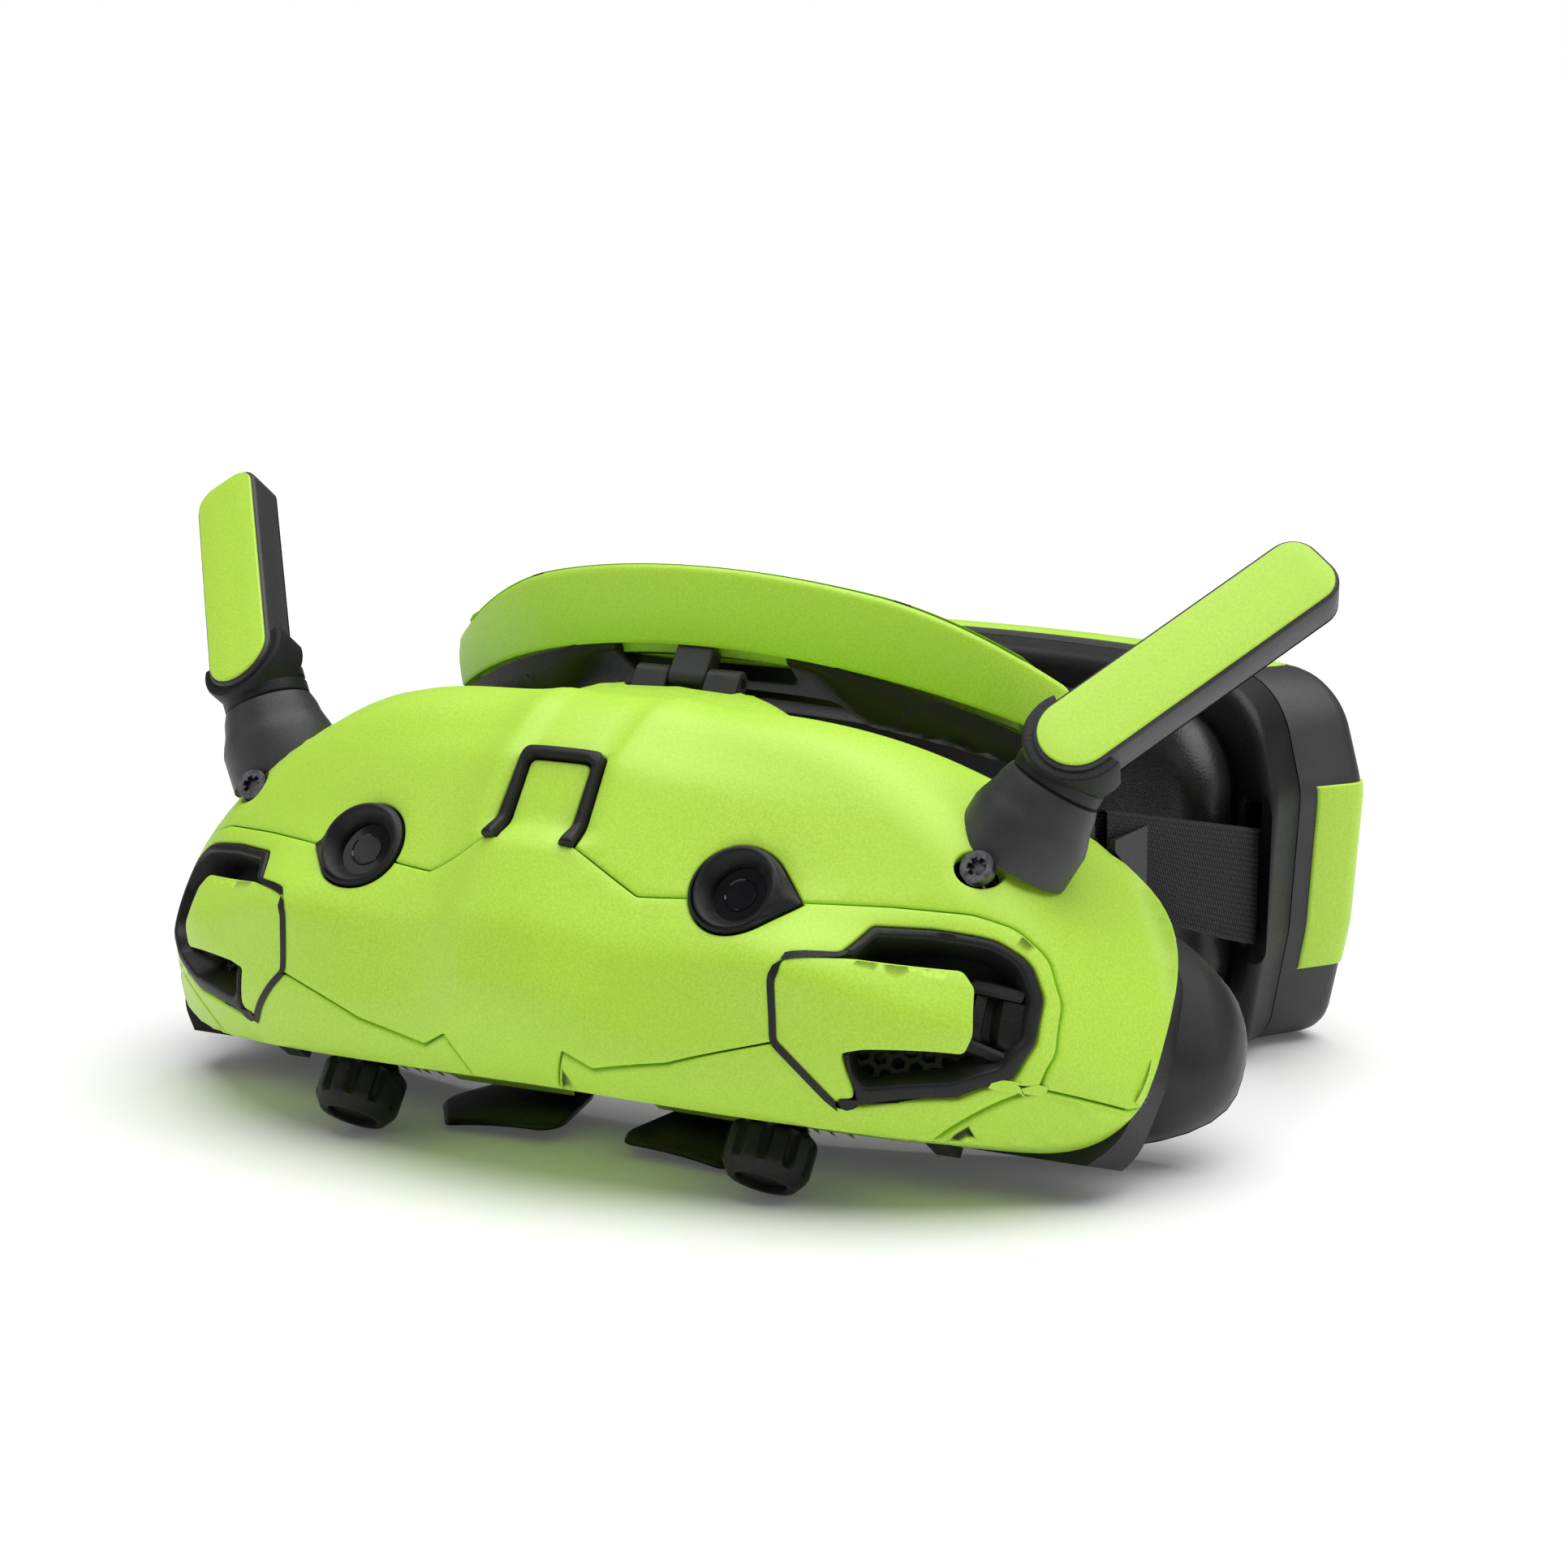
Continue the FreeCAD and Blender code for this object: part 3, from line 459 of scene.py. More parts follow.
def panel(name, keep, cut, lift, edge, slot, replaced=(), body="headset", grid=2, gap=0.12,
          sharp=38, back=None):
    """A panel covering the outlines in keep, less those in cut.

    lift(x, z, depth) puts a flat point in space, depth below the surface. edge lists
    (inset, depth) pairs from the wall's foot to the face. gap is left all round, and
    grid is the spacing of the face's points. back, if given, closes the far side at
    that depth."""
    points, triangles = triangulate(keep + cut)
    middles = points[triangles].mean(axis=1)
    chosen = np.zeros(len(middles), bool)
    for outline in keep:
        chosen |= inside(middles, outline)
    for outline in cut:
        chosen &= ~inside(middles, outline)
    loops = [[tuple(points[i]) for i in loop] for loop in border_loops(triangles[chosen])]
    loops = [even_loop(loop, CLOSEST) for loop in loops]
    bases = [inset_loop(loop, gap) for loop in loops if len(loop) > 8]
    verts, faces = [], []
    rims = []
    for base in bases:
        rows = []
        for inset, depth in edge:
            moved = inset_loop(base, inset) if inset else base
            rows.append([len(verts) + k for k in range(len(moved))])
            verts += [lift(x, z, depth) for x, z in moved]
        for low, high in zip(rows, rows[1:]):
            count = len(low)
            faces += [(low[k], low[(k + 1) % count], high[(k + 1) % count], high[k])
                      for k in range(count)]
        rims.append([tuple(p) for p in moved])
    low = np.min([np.min(r, axis=0) for r in rims], axis=0)
    high = np.max([np.max(r, axis=0) for r in rims], axis=0)
    xs = np.arange(low[0] + 0.37 * grid, high[0], grid)
    zs = np.arange(low[1] + 0.41 * grid, high[1], grid)
    mesh = np.array([(x, z) for x in xs for z in zs]).reshape(-1, 2)
    if len(mesh):
        edge_points = np.array([p for rim in rims for p in rim])
        near = np.array([np.min(np.sum((edge_points - p) ** 2, axis=1)) for p in mesh])
        mesh = mesh[(near > (0.45 * grid) ** 2) & in_loops(mesh, rims)]
    sheets = [(rims, [tuple(p) for p in mesh], edge[-1][1])]
    if back is not None:
        sheets.append(([[tuple(p) for p in base] for base in bases], [], back))
    for borders, extra, depth in sheets:
        points, triangles = triangulate(borders, extra)
        triangles = triangles[in_loops(points[triangles].mean(axis=1), borders)]
        first = len(verts)
        verts += [lift(x, z, depth) for x, z in points]
        faces += [tuple(first + int(i) for i in t) for t in triangles]
    return add_piece(name, verts, faces, slot, replaced, body, sharp)


def soft_edge(radius, wall, steps=4):
    """An edge profile: a straight wall, then a rounded corner."""
    out = [(0, wall)]
    for k in range(steps + 1):
        a = 0.5 * math.pi * k / steps
        out.append((radius * (1 - math.cos(a)), radius * (1 - math.sin(a))))
    return out


# ---- the front skin's form ----
HALF, TOP, WAIST, BOTTOM, BACK = 88.2, 37.5, -2, 28.5, 38.0
TOP_POWER, LOW_POWER = 3.3, 2.8


def outline_point(angle):
    """The skin's front outline, at an angle about the waist's middle."""
    c, s = math.cos(angle), math.sin(angle)
    high, power = (TOP, TOP_POWER) if s > 0 else (BOTTOM, LOW_POWER)
    size = ((abs(c) / HALF) ** power + (abs(s) / high) ** power) ** (-1 / power)
    return (c * size, WAIST + s * size)


def front_y(x, z):
    """Depth of the front surface, from the bowl between the cameras to its rolled edge."""
    x = abs(x)
    y = -3 + 12.4 * (x / 67) ** 2
    y -= 5.5 * ease((z + 31) / 11) / (1 + (x / 12) ** 4)
    y += 0.35 * max(0, -12 - z)
    y += 0.45 * max(0, z - 16) * math.exp(-(x / 32) ** 2)
    y -= 4.0 * math.exp(-((x - 44) / 14) ** 2 - ((z + 10) / 8) ** 2)
    high = 38.0 if z > WAIST else 30.0
    level = ((x / 93) ** 2.8 + (abs(z - WAIST) / high) ** 2.8) ** (1 / 2.8)
    turn = max(0, (level - 0.72) / 0.28)
    kept = min(0.965, turn)
    roll = 15 * (1 - math.sqrt(1 - kept * kept)) + 55 * (turn - kept)
    power, tall = (2.1, TOP) if z > WAIST else (3, BOTTOM)
    a, b = (x / HALF) ** power, (abs(z - WAIST) / tall) ** power
    t = max(0, (a + b) ** (1 / power) - 0.75) * HALF
    side = 0.0376 * t * t if t < 11.3 else 4.8 + 1.35 * (t - 11.3)
    y += roll + (side - roll) * ease(a / (a + b + 1e-9))
    return y if y < 36.5 else BACK - 1.5 * math.exp((36.5 - y) / 1.5)


def recess(x, z):
    """The shallow trough that the nose trim stands in."""
    return 2.6 * (1 - ease((abs(x) - 6) / 5)) * ease((z - 0.5) / 5)


RIM = np.array([outline_point(a) for a in turns(720)])
RIM_NEXT = np.roll(RIM, -1, axis=0)


def skin_base(x, z):
    """A flat point in space: on the front inside the outline, on the sides and underside beyond it."""
    c, s = x, z - WAIST
    high, power = (TOP, TOP_POWER) if s > 0 else (BOTTOM, LOW_POWER)
    if (abs(c) / HALF) ** power + (abs(s) / high) ** power <= 1.0:
        return Vector((x, front_y(x, z) + recess(x, z), z))
    p = np.array((x, z))
    along = RIM_NEXT - RIM
    t = np.clip(np.sum((p - RIM) * along, axis=1) / np.sum(along * along, axis=1), 0, 1)
    spots = RIM + along * t[:, None]
    gaps = np.sum((spots - p) ** 2, axis=1)
    best = int(np.argmin(gaps))
    bx, bz = spots[best]
    out = math.sqrt(gaps[best])
    y0 = front_y(bx, bz)
    y = y0 + out
    z_new = bz + 0.31 * min(out, BACK - y0) * ease((-bz - 14) / 12)
    inward = 0.02 * out
    return Vector((bx * (1 - inward / HALF), min(y, BACK + 0.2), z_new))


def skin_normal(x, z):
    h = 0.35
    a = skin_base(x + h, z) - skin_base(x - h, z)
    b = skin_base(x, z + h) - skin_base(x, z - h)
    n = a.cross(b)
    if n.length < 1e-9:
        return Vector((0, -1, 0))
    return n.normalized()


def skin(x, z, depth):
    p = skin_base(x, z)
    if depth:
        p = p - skin_normal(x, z) * depth
    return worn(*p)


def raised_skin(rise):
    return lambda x, z, depth: skin(x, z, depth - rise)


def back_limit():
    """The flat outline of the skin's rear edge."""
    out = []
    for p, q in zip(RIM[::3], RIM_NEXT[::3]):
        d = (q - p) / np.linalg.norm(q - p)
        reach = BACK - front_y(*p)
        out.append((p[0] + d[1] * reach, p[1] - d[0] * reach))
    return out


LIMIT = back_limit()
CHIN = rounded([(7.8, -30.3), (10.4, -27.2), (14.8, -28.4), (27, -26.1), (43, -20.6), (60, -22.6),
                (77.1, -15.5), (60, -28.4), (54, -70), (7.8, -70)], 0.4)
CORNER = rounded([(77.1, -15.5), (80.8, -14.3), (88, -12), (120, -5), (120, -70), (54, -70),
                  (60, -28.4)], 0.6)
VENT = rounded([(51, -6.7), (53.4, -0.8), (61.4, 1), (70, 1.9), (74.5, 0.7), (76.9, -3.8),
                (77.1, -10.6), (74.6, -15.8), (67.5, -20.6), (55, -25), (51, -25.8),
                (43, -20.5), (42.7, -13), (44.2, -9.2)],
               [1, 1.2, 6, 6, 4, 4, 6, 5, 6, 2, 1, 1.5, 3, 2])
DUCT = rounded([(52.9, -6), (54.6, -2.4), (61.4, -0.8), (69.6, 0.1), (73.1, -0.6), (75.3, -4.6),
                (75.5, -10.6), (73.2, -15), (67.1, -19.1), (55.6, -23.1), (54.4, -21.6),
                (54, -19), (46, -16), (46, -10)],
               [0.6, 1, 6, 5, 3.4, 3.4, 5, 4, 5, 1.4, 0.8, 0.5, 0.5, 0.5])
ISLAND = rounded([(44.1, -9.3), (46.6, -8.4), (53.2, -6.6), (67, -3.9), (69.1, -6), (70.2, -12.6),
                  (69, -15.6), (55.9, -18.9), (53, -20), (54.6, -24.5), (51.3, -25.8), (43.2, -20.4),
                  (42.8, -13)], [2, 2, 4, 1.6, 2, 4, 1.6, 2, 0.4, 1.2, 0.6, 1.5, 3])
SEAM_RIGHT = [(7.8, -34), (10.4, -27.2), (14.8, -28.4), (27, -26.1), (43, -20.6), (60, -22),
              (77.1, -15.5), (79, -10.6), (78.7, -3.3), (76.2, 2.4), (71.8, 4.8), (66, 4.7),
              (55, 2.9), (41.5, 0.1), (33, 0), (25.5, -2.3), (18.2, -3.5), (7.7, 1.5)]
SEAM_ROUND = [0, 0.6, 2, 8, 1, 2, 1, 6, 6, 5, 5, 8, 12, 1, 1, 6, 1.2, 0]
LOWER = rounded(SEAM_RIGHT + [(5.5, 1.5), (5.5, 15.6), (-5.5, 15.6), (-5.5, 1.5)]
                + [(-x, z) for x, z in reversed(SEAM_RIGHT)],
                SEAM_ROUND + [0, 1.2, 1.2, 0] + SEAM_ROUND[::-1])
TRIM_OUT = rounded([(-7.9, 1), (-7.3, 17.5), (7.3, 17.5), (7.9, 1)], [0.3, 1.8, 1.8, 0.3])
TRIM_IN = rounded([(-5.6, -4), (-5.5, 15.7), (5.5, 15.7), (5.6, -4)], [0, 1.2, 1.2, 0])
CAMERA_X = 33
TAIL_TIP = 10.0
BEZEL = 7.4


def bezel_radius(angle):
    """Radius of a camera's bezel, with a pointed tail at angle 0."""
    reach = math.acos(BEZEL / TAIL_TIP)
    a = abs((angle + math.pi) % (2 * math.pi) - math.pi)
    return BEZEL / math.cos(reach - a) if a < reach else BEZEL


RING = [(CAMERA_X + bezel_radius(a) * math.cos(a), bezel_radius(a) * math.sin(a))
        for a in turns(64)]
SCREW_HOLE = circle(64.7, 12, 3, 36)


def slot_outline():
    """The knob slot, a stadium on the underside, laid out flat."""
    out = []
    for x, y in rounded([(22.2, 17.9), (22.2, 33.1), (51.5, 33.1), (51.5, 17.9)], 7.4):
        part = (x / HALF) ** LOW_POWER
        z = WAIST - BOTTOM * (1 - part) ** (1 / LOW_POWER)
        slope = BOTTOM * part / x * (1 - part) ** (1 / LOW_POWER - 1)
        out_way = Vector((slope, -1)).normalized()
        reach = y - front_y(x, z)
        out.append((x + out_way.x * reach, z + out_way.y * reach))
    return out


SLOT = slot_outline()
SHELL_EDGE = soft_edge(0.42, 2.2, 3)
both_sides = [VENT, flip(VENT), RING, flip(RING)]
below = [CHIN, flip(CHIN), CORNER, flip(CORNER)]
VENT_DEPTH = 6.4
panel("skin_upper", [LIMIT], [LOWER, TRIM_OUT, SCREW_HOLE, flip(SCREW_HOLE)] + both_sides + below,
      skin, SHELL_EDGE, "lime_skin", ["upper_front_shell"])
panel("skin_lower", [LOWER], below + both_sides, skin, SHELL_EDGE, "lime_skin", ["lower_front_shell"])
for side, mirror in MIRRORS:
    panel("skin_chin_" + side, [mirror(CHIN)], [mirror(VENT), mirror(CORNER), mirror(SLOT)], skin,
          SHELL_EDGE, "lime_skin", ["chin_panel_" + side])
    panel("skin_corner_" + side, [mirror(CORNER)], [mirror(VENT)], skin, SHELL_EDGE, "lime_skin",
          ["corner_panels"])
    panel("vent_frame_" + side, [mirror(VENT)], [mirror(DUCT), mirror(ISLAND)], raised_skin(0.15),
          soft_edge(0.5, 6.7, 3), "black_plastic", ["vent_trim_" + side], grid=1.2)
    panel("vent_island_skin_" + side, [mirror(ISLAND)], [], skin, soft_edge(0.45, 6.5, 3), "lime_skin",
          ["vent_island_" + side], grid=1.5)
panel("nose_frame", [TRIM_OUT], [TRIM_IN], raised_skin(1.3), soft_edge(0.6, 4, 3), "black_plastic",
      ["nose_trim"], grid=0.8)


# ---- turned and lofted shapes ----
def turned(profile, centre, axis, count=72, bend=None):
    """Rows of (radius, distance along axis) turned about an axis, in the worn frame.

    bend(angle, row, radius, along) gives another radius and distance."""
    axis = Vector(axis).normalized()
    side = Vector((1, 0, 0)) if abs(axis.x) < 0.9 else Vector((0, 1, 0))
    u = (side - axis * side.dot(axis)).normalized()
    v = axis.cross(u)
    centre = Vector(centre)
    rings = []
    for row, (radius, along) in enumerate(profile):
        ring = []
        for a in turns(count):
            r, h = bend(a, row, radius, along) if bend else (radius, along)
            ring.append(worn(*(centre + axis * h + (u * math.cos(a) + v * math.sin(a)) * r)))
        rings.append(ring)
    verts, faces = ring_loft(rings)
    for row in (0, len(profile) - 1):
        if profile[row][0] > 0.01:
            faces.append(tuple(row * count + k for k in range(count)))
    return verts, faces


def joined(shapes):
    verts, faces = [], []
    for v, f in shapes:
        first = len(verts)
        verts += v
        faces += [tuple(first + i for i in face) for face in f]
    return verts, faces


def mirrored(shape):
    verts, faces = shape
    return [Vector((-v.x, v.y, v.z)) for v in verts], [tuple(reversed(f)) for f in faces]


def ring_loft(rings, closed=True, caps=False):
    """Quads between rows of equally many points."""
    verts = [p for ring in rings for p in ring]
    count = len(rings[0])
    faces = []
    last = count if closed else count - 1
    for row in range(len(rings) - 1):
        for k in range(last):
            a, b = row * count + k, row * count + (k + 1) % count
            faces.append((a, b, b + count, a + count))
    if caps:
        faces.append(tuple(range(count)))
        faces.append(tuple((len(rings) - 1) * count + k for k in range(count)))
    return verts, faces


# ---- front cameras: a cone-shaped bezel with a pointed tail, black glass, a small lens ----
BEZEL_ROWS = [(0, 2.4), (0, 0), (0, -0.45), (0.5, -0.75)]
BEZEL_INNER = [(6.95, -1.75), (6.6, -2.1), (6.2, -2.15), (5.85, -1.9), (4.6, -0.35), (4.42, 0.1),
               (4.35, 1)]


def bezel_shape(m):
    """The bezel's outside follows the skin, and its inside is a cone down to the lens."""
    rings = []
    for inset, rise in BEZEL_ROWS:
        ring = []
        for a in turns(96):
            r = bezel_radius(a) - inset - 0.1
            x, z = CAMERA_X + r * math.cos(a), r * math.sin(a)
            ring.append(worn(m * x, front_y(x, z) + rise, z))
        rings.append(ring)
    for radius, y in BEZEL_INNER:
        ring = []
        for a in turns(96):
            tail = max(0, bezel_radius(a) - BEZEL) if radius > 6.5 else 0.0
            r = radius + 0.25 * tail
            ring.append(worn(m * (CAMERA_X + r * math.cos(a)), y + 0.35 * tail, r * math.sin(a)))
        rings.append(ring)
    return ring_loft(rings)


LENS_ROWS = [(4.38, -0.45), (2.75, -0.42), (2.6, -0.26), (2.5, -0.26), (2.3, -0.46), (1.75, -0.48),
             (1.55, -0.8), (1.2, -1), (1.05, -0.8), (0.8, -0.66), (0.45, -0.6), (0, -0.58)]
for side, m in SIDES:
    add_piece("camera_bezel_cone_" + side, *bezel_shape(m), "black_plastic",
              ["camera_bezel_" + side], sharp=50)
lenses = joined([turned(LENS_ROWS, (CAMERA_X * m, 0, 0), (0, -1, 0), 64) for _, m in SIDES])
add_piece("camera_lenses", *lenses, "clear_glass", ["camera_cover_glasses", "camera_modules"], sharp=30)

# ---- vents: dark floor behind the mesh, slanted ribs and a stepped block at the outer side ----
for side, mirror in MIRRORS:
    panel("vent_floor_" + side, [mirror(VENT)], [], raised_skin(-VENT_DEPTH), [(0.1, 0.4), (0.1, 0)],
          "black_plastic", grid=3)
RIBS = [((68.9, -4.2), (75, -4.2)), ((68.7, -15.2), (74.2, -14.6))]
RIB_ROWS = [(0, VENT_DEPTH, 1.5), (0, 4.4, 1.25), (0.35, 3.4, 1.1), (1, 1.3, 1),
            (1, VENT_DEPTH, 1.5)]
BLOCK_ROWS = [(70.2, VENT_DEPTH), (70.4, 4.6), (71.8, 4.3), (72.2, 5.4), (73.2, 5.3), (73.7, 3.2),
              (75.6, 1.4)]


def rib_shape(m):
    """Two ribs, each a row of (way along, depth, half width), and the stepped block between them."""
    shapes = []
    for (xa, za), (xb, zb) in RIBS:
        way = Vector((xb - xa, zb - za)).normalized()
        across = Vector((-way.y, way.x))
        rings = []
        for t, depth, half in RIB_ROWS:
            spot = Vector((xa, za)).lerp(Vector((xb, zb)), t)
            ring = []
            for s in (-1, -0.55, 0.55, 1):
                q = spot + across * (half * s)
                ring.append(skin(m * q.x, q.y, depth + (0.5 if abs(s) > 0.9 else 0)))
            rings.append(ring)
        shapes.append(ring_loft(rings, closed=False))
    rings = []
    for x, depth in BLOCK_ROWS:
        rings.append([skin(m * (x - 0.25 * abs(z + 10) * 0.2), z, depth)
                      for z in (-14.2, -12.2, -10, -8, -5.4)])
    shapes.append(ring_loft(rings, closed=False))
    return joined(shapes)


for side, m in SIDES:
    add_piece("vent_ribs_" + side, *rib_shape(m), "black_plastic", sharp=25)


# ---- hump on the top, one piece of skin with a slanted front ----
HUMP_HALF = 28.5


def hump_height(x, y):
    """Height of the hump, which slopes down to its front and its sides."""
    across = clamp((HUMP_HALF - abs(x)) / 15.5)
    front = clamp((y - 15.2 - 0.05 * abs(x)) / 4.6)
    low = min(across, front)
    soft = low - 0.06 * math.exp(-((across - front) / 0.12) ** 2) * ease(low * 4)
    if soft >= 0.9:
        soft = 0.9 + 0.1 * math.sin(min(1, (soft - 0.9) / 0.1) * math.pi / 2)
    return 34.6 + 7.4 * soft


HINGE_PIT = rounded([(-10.2, 19.9), (-10.2, 25.8), (10.2, 25.8), (10.2, 19.9)], 0.8, 0.8)
HUMP = rounded([(-HUMP_HALF, 15.2), (-HUMP_HALF, 37.9), (HUMP_HALF, 37.9), (HUMP_HALF, 15.2)], 1, 1.2)
panel("skin_hump", [HUMP], [HINGE_PIT], lambda x, y, d: worn(x, y, hump_height(x, y) - d),
      soft_edge(0.3, 2, 2), "lime_skin", ["top_cover"], grid=1.3, sharp=30)

# ---- antennas ----
FACE_OUT = Vector((0.252, -0.951, 0.133)).normalized()
PADDLE_WAY = Vector((0.542, 0.255, 0.800))
PADDLE_WAY = (PADDLE_WAY - FACE_OUT * PADDLE_WAY.dot(FACE_OUT)).normalized()
ACROSS = FACE_OUT.cross(PADDLE_WAY)
STEM = Vector((0.45, -0.33, 0.83)).normalized()
FOOT = Vector((69.1, 15.1, 25))
ROOT = Vector((74.6, 8.6, 33.8))


def on_paddle(m):
    """Places a point along the paddle, across it and out of it."""
    def lift(a, b, height):
        p = ROOT + PADDLE_WAY * a + ACROSS * b + FACE_OUT * height
        return worn(m * p.x, p.y, p.z)
    return lift


PADDLE_HALF, PADDLE_END, PADDLE_CORNER = 6.3, 47.5, 4.4


def paddle_outline(inset):
    """Round at the root, with two rounded corners at the end."""
    half = PADDLE_HALF - inset
    far = PADDLE_END - inset
    out = [(half * math.cos(a), half * math.sin(a)) for a in np.linspace(0.5 * math.pi, 1.5 * math.pi, 25)]
    corner = PADDLE_CORNER - inset
    for centre_b, start in ((-(half - corner), -0.5 * math.pi), (half - corner, 0)):
        for a in np.linspace(start, start + 0.5 * math.pi, 9):
            out.append((far - corner + corner * math.cos(a), centre_b + corner * math.sin(a)))
    return rounded(out, 0, 1.2)


PADDLE_THICK = 6.3
BLADE_EDGE = [(0.5, PADDLE_THICK), (0.15, 6.15), (0, 5.8)] + soft_edge(0.55, 0.6, 3)[1:]
FACE_EDGE = [(0, 0.6)] + soft_edge(0.22, 0.3, 3)[1:]
KNUCKLE_ROWS = [(7.9, -5.2), (7.9, -4.9), (8, 0.4), (7.8, 0.9), (7.3, 1.1), (6.8, 1), (6, 1.2),
                (6, -5.2)]
for side, m in SIDES:
    lift = on_paddle(m)
    body = "antenna_" + side
    panel("antenna_blade_" + side, [paddle_outline(0)], [], lambda a, b, d: lift(a, b, 1.9 - d),
          BLADE_EDGE, "grey_plastic", ["antenna_paddle_" + side], body, grid=3, gap=0,
          back=PADDLE_THICK)
    panel("antenna_skin_" + side, [paddle_outline(0.62)], [], lambda a, b, d: lift(a, b, 2.35 - d),
          FACE_EDGE, "lime_skin", ["antenna_face_" + side], body, grid=3, gap=0)
    rings = []
    for radius, height in KNUCKLE_ROWS:
        rings.append([lift(radius * math.cos(a), radius * math.sin(a), height)
                      for a in np.linspace(0.42 * math.pi, 1.58 * math.pi, 40)])
    add_piece("antenna_knuckle_" + side, *ring_loft(rings + rings[:1], closed=False), "black_plastic",
              body=body)

FOOT_ROWS = [(9.6, -3.4), (9.4, -3), (9, -1.6), (8.6, -0.6), (8.2, 0.6), (7.9, 2.2), (7.5, 3.3),
             (7.3, 3.8), (6.9, 4), (6, 4)]
COLLAR_ROWS = [(6.3, 3.5), (6.9, 4.1), (7.15, 4.4), (7.15, 6.1), (6.95, 6.3), (6.7, 6.35), (6.7, 6.7),
               (6.95, 6.85), (7.1, 7.1), (7.1, 8.5), (6.6, 9.1), (4, 9.3), (0, 9.3)]


def foot_reach(a, row, r, h):
    """The foot's skirt runs down its stem until it meets the skin."""
    u = (Vector((1, 0, 0)) - STEM * STEM.x).normalized()
    way = u * math.cos(a) + STEM.cross(u) * math.sin(a)
    while row == 0 and h > -9:
        p = FOOT + STEM * h + way * r
        if p.y > front_y(p.x, p.z) + 0.4 and p.z < 33 - 0.1 * max(0, p.x - 60):
            break
        r, h = r - 0.02, h - 0.3
    return r, h


foot = turned(FOOT_ROWS, FOOT, STEM, bend=foot_reach)
add_piece("antenna_feet", *joined([foot, mirrored(foot)]), "grey_plastic", ["antenna_bases"])
collar = turned(COLLAR_ROWS, FOOT, STEM)
add_piece("antenna_swivels", *joined([collar, mirrored(collar)]), "black_plastic",
          ["antenna_collars"], sharp=30)

# ---- knobs under the body: neck, grooved barrel, chamfered end with a recess ----
KNOB_X, KNOB_Y, KNOB_END = 36.6, 25.5, -35.39
KNOB_ROWS = [(2.3, 12), (3.4, 11.6), (4.3, 10.2), (5, 8.9), (6, 8.1), (6.5, 7.7), (6.72, 7.3),
             (6.8, 6.8), (6.8, 6), (6.8, 5.2), (6.8, 4.4), (6.8, 3.6), (6.8, 2.9), (6.75, 2.4),
             (6.5, 1.8), (5.3, 0.15), (5.1, 0.02), (4.9, 0), (4.2, 0.05), (4, 0.25), (3.9, 0.9),
             (0, 0.95)]
GROOVES, GROOVE_DEEP, GROOVE_LOW, GROOVE_HIGH = 10, 0.95, 1.9, 8.0


def grip(a, row, r, h):
    """Rounded grooves round the barrel, fading out at both ends."""
    if GROOVE_LOW < h < GROOVE_HIGH:
        depth = GROOVE_DEEP * ease((h - GROOVE_LOW) / 0.9) * ease((GROOVE_HIGH - h) / 0.9)
        wave = abs(((a * GROOVES / (2 * math.pi)) % 1) - 0.5) * 2
        r -= depth * math.sqrt(max(0, 1 - ((1 - wave) / 0.42) ** 2)) if wave > 0.58 else 0.0
    return r, h


for side, m in SIDES:
    shape = turned(KNOB_ROWS, (m * KNOB_X, KNOB_Y, KNOB_END), (0, 0, 1), 200, grip)
    add_piece("focus_knob_" + side, *shape, "black_plastic", ["diopter_knob_" + side],
              "knob_" + side, sharp=35)

# ---- forehead pad ----
LEAN = Vector((0, -SIN, COS))
PAD_Z, PAD_HALF, PAD_TALL = 49.1, 57.5, 13.5
PAD_FRONT, PAD_BACK = (19.9, 44.7), (34.4, 49.8)


def arc_depth(x, middle, ends):
    """Depth of an arc that is given by its middle and its ends."""
    rise = ends - middle
    radius = (PAD_HALF * PAD_HALF + rise * rise) / (2 * rise)
    return middle + radius - math.sqrt(max(0, radius * radius - x * x))


def pad_outline(inset):
    """The pad seen from above: two arcs that meet at its ends."""
    half = PAD_HALF - inset
    front = [(x, arc_depth(x, *PAD_FRONT) + inset) for x in np.linspace(-half, half, 60)]
    back = [(x, arc_depth(x, *PAD_BACK) - inset) for x in np.linspace(half, -half, 40)]
    corner = 2.2 - min(2, inset)
    return rounded(front + back[1:-1], [corner] + [0] * 58 + [corner] + [0] * 38, 1.3)


def on_pad(x, y, up):
    """A point of the worn frame, given over the pad's plan and up its lean."""
    return Vector((x, y, PAD_Z)) + LEAN * up


def pad_height(x):
    return PAD_TALL - 4.4 * clamp((abs(x) - 30) / 27.5) ** 1.8


def pad_top(x, y, depth):
    """The band: its wall bulges, and its top drops toward the ends."""
    bulge = 0.55 * math.sin(math.pi * clamp(depth / 13))
    out = Vector((x / 80, -math.sqrt(max(0, 1 - (x / 80) ** 2)), 0))
    height = pad_height(x) - depth * pad_height(x) / PAD_TALL
    return worn(*(on_pad(x, y, height) + out * bulge))


wall = [(0.35, PAD_TALL), (0.1, 13.3), (0, 12.9), (0, 10.5), (0, 8), (0, 5.5)]
panel("pad_band_skin", [pad_outline(0)], [pad_outline(4.2)], pad_top,
      wall + soft_edge(2.4, 2.9, 5)[1:], "lime_skin", ["forehead_band"], body="forehead_pad", grid=2)
panel("pad_top_skin", [pad_outline(4.1)], [], pad_top, soft_edge(0.3, 1.4, 3), "lime_skin",
      body="forehead_pad", grid=2.2)
HINGE_ROOM = rounded([(-16, 18), (-15, 29.5), (15, 29.5), (16, 18)], 1.5)


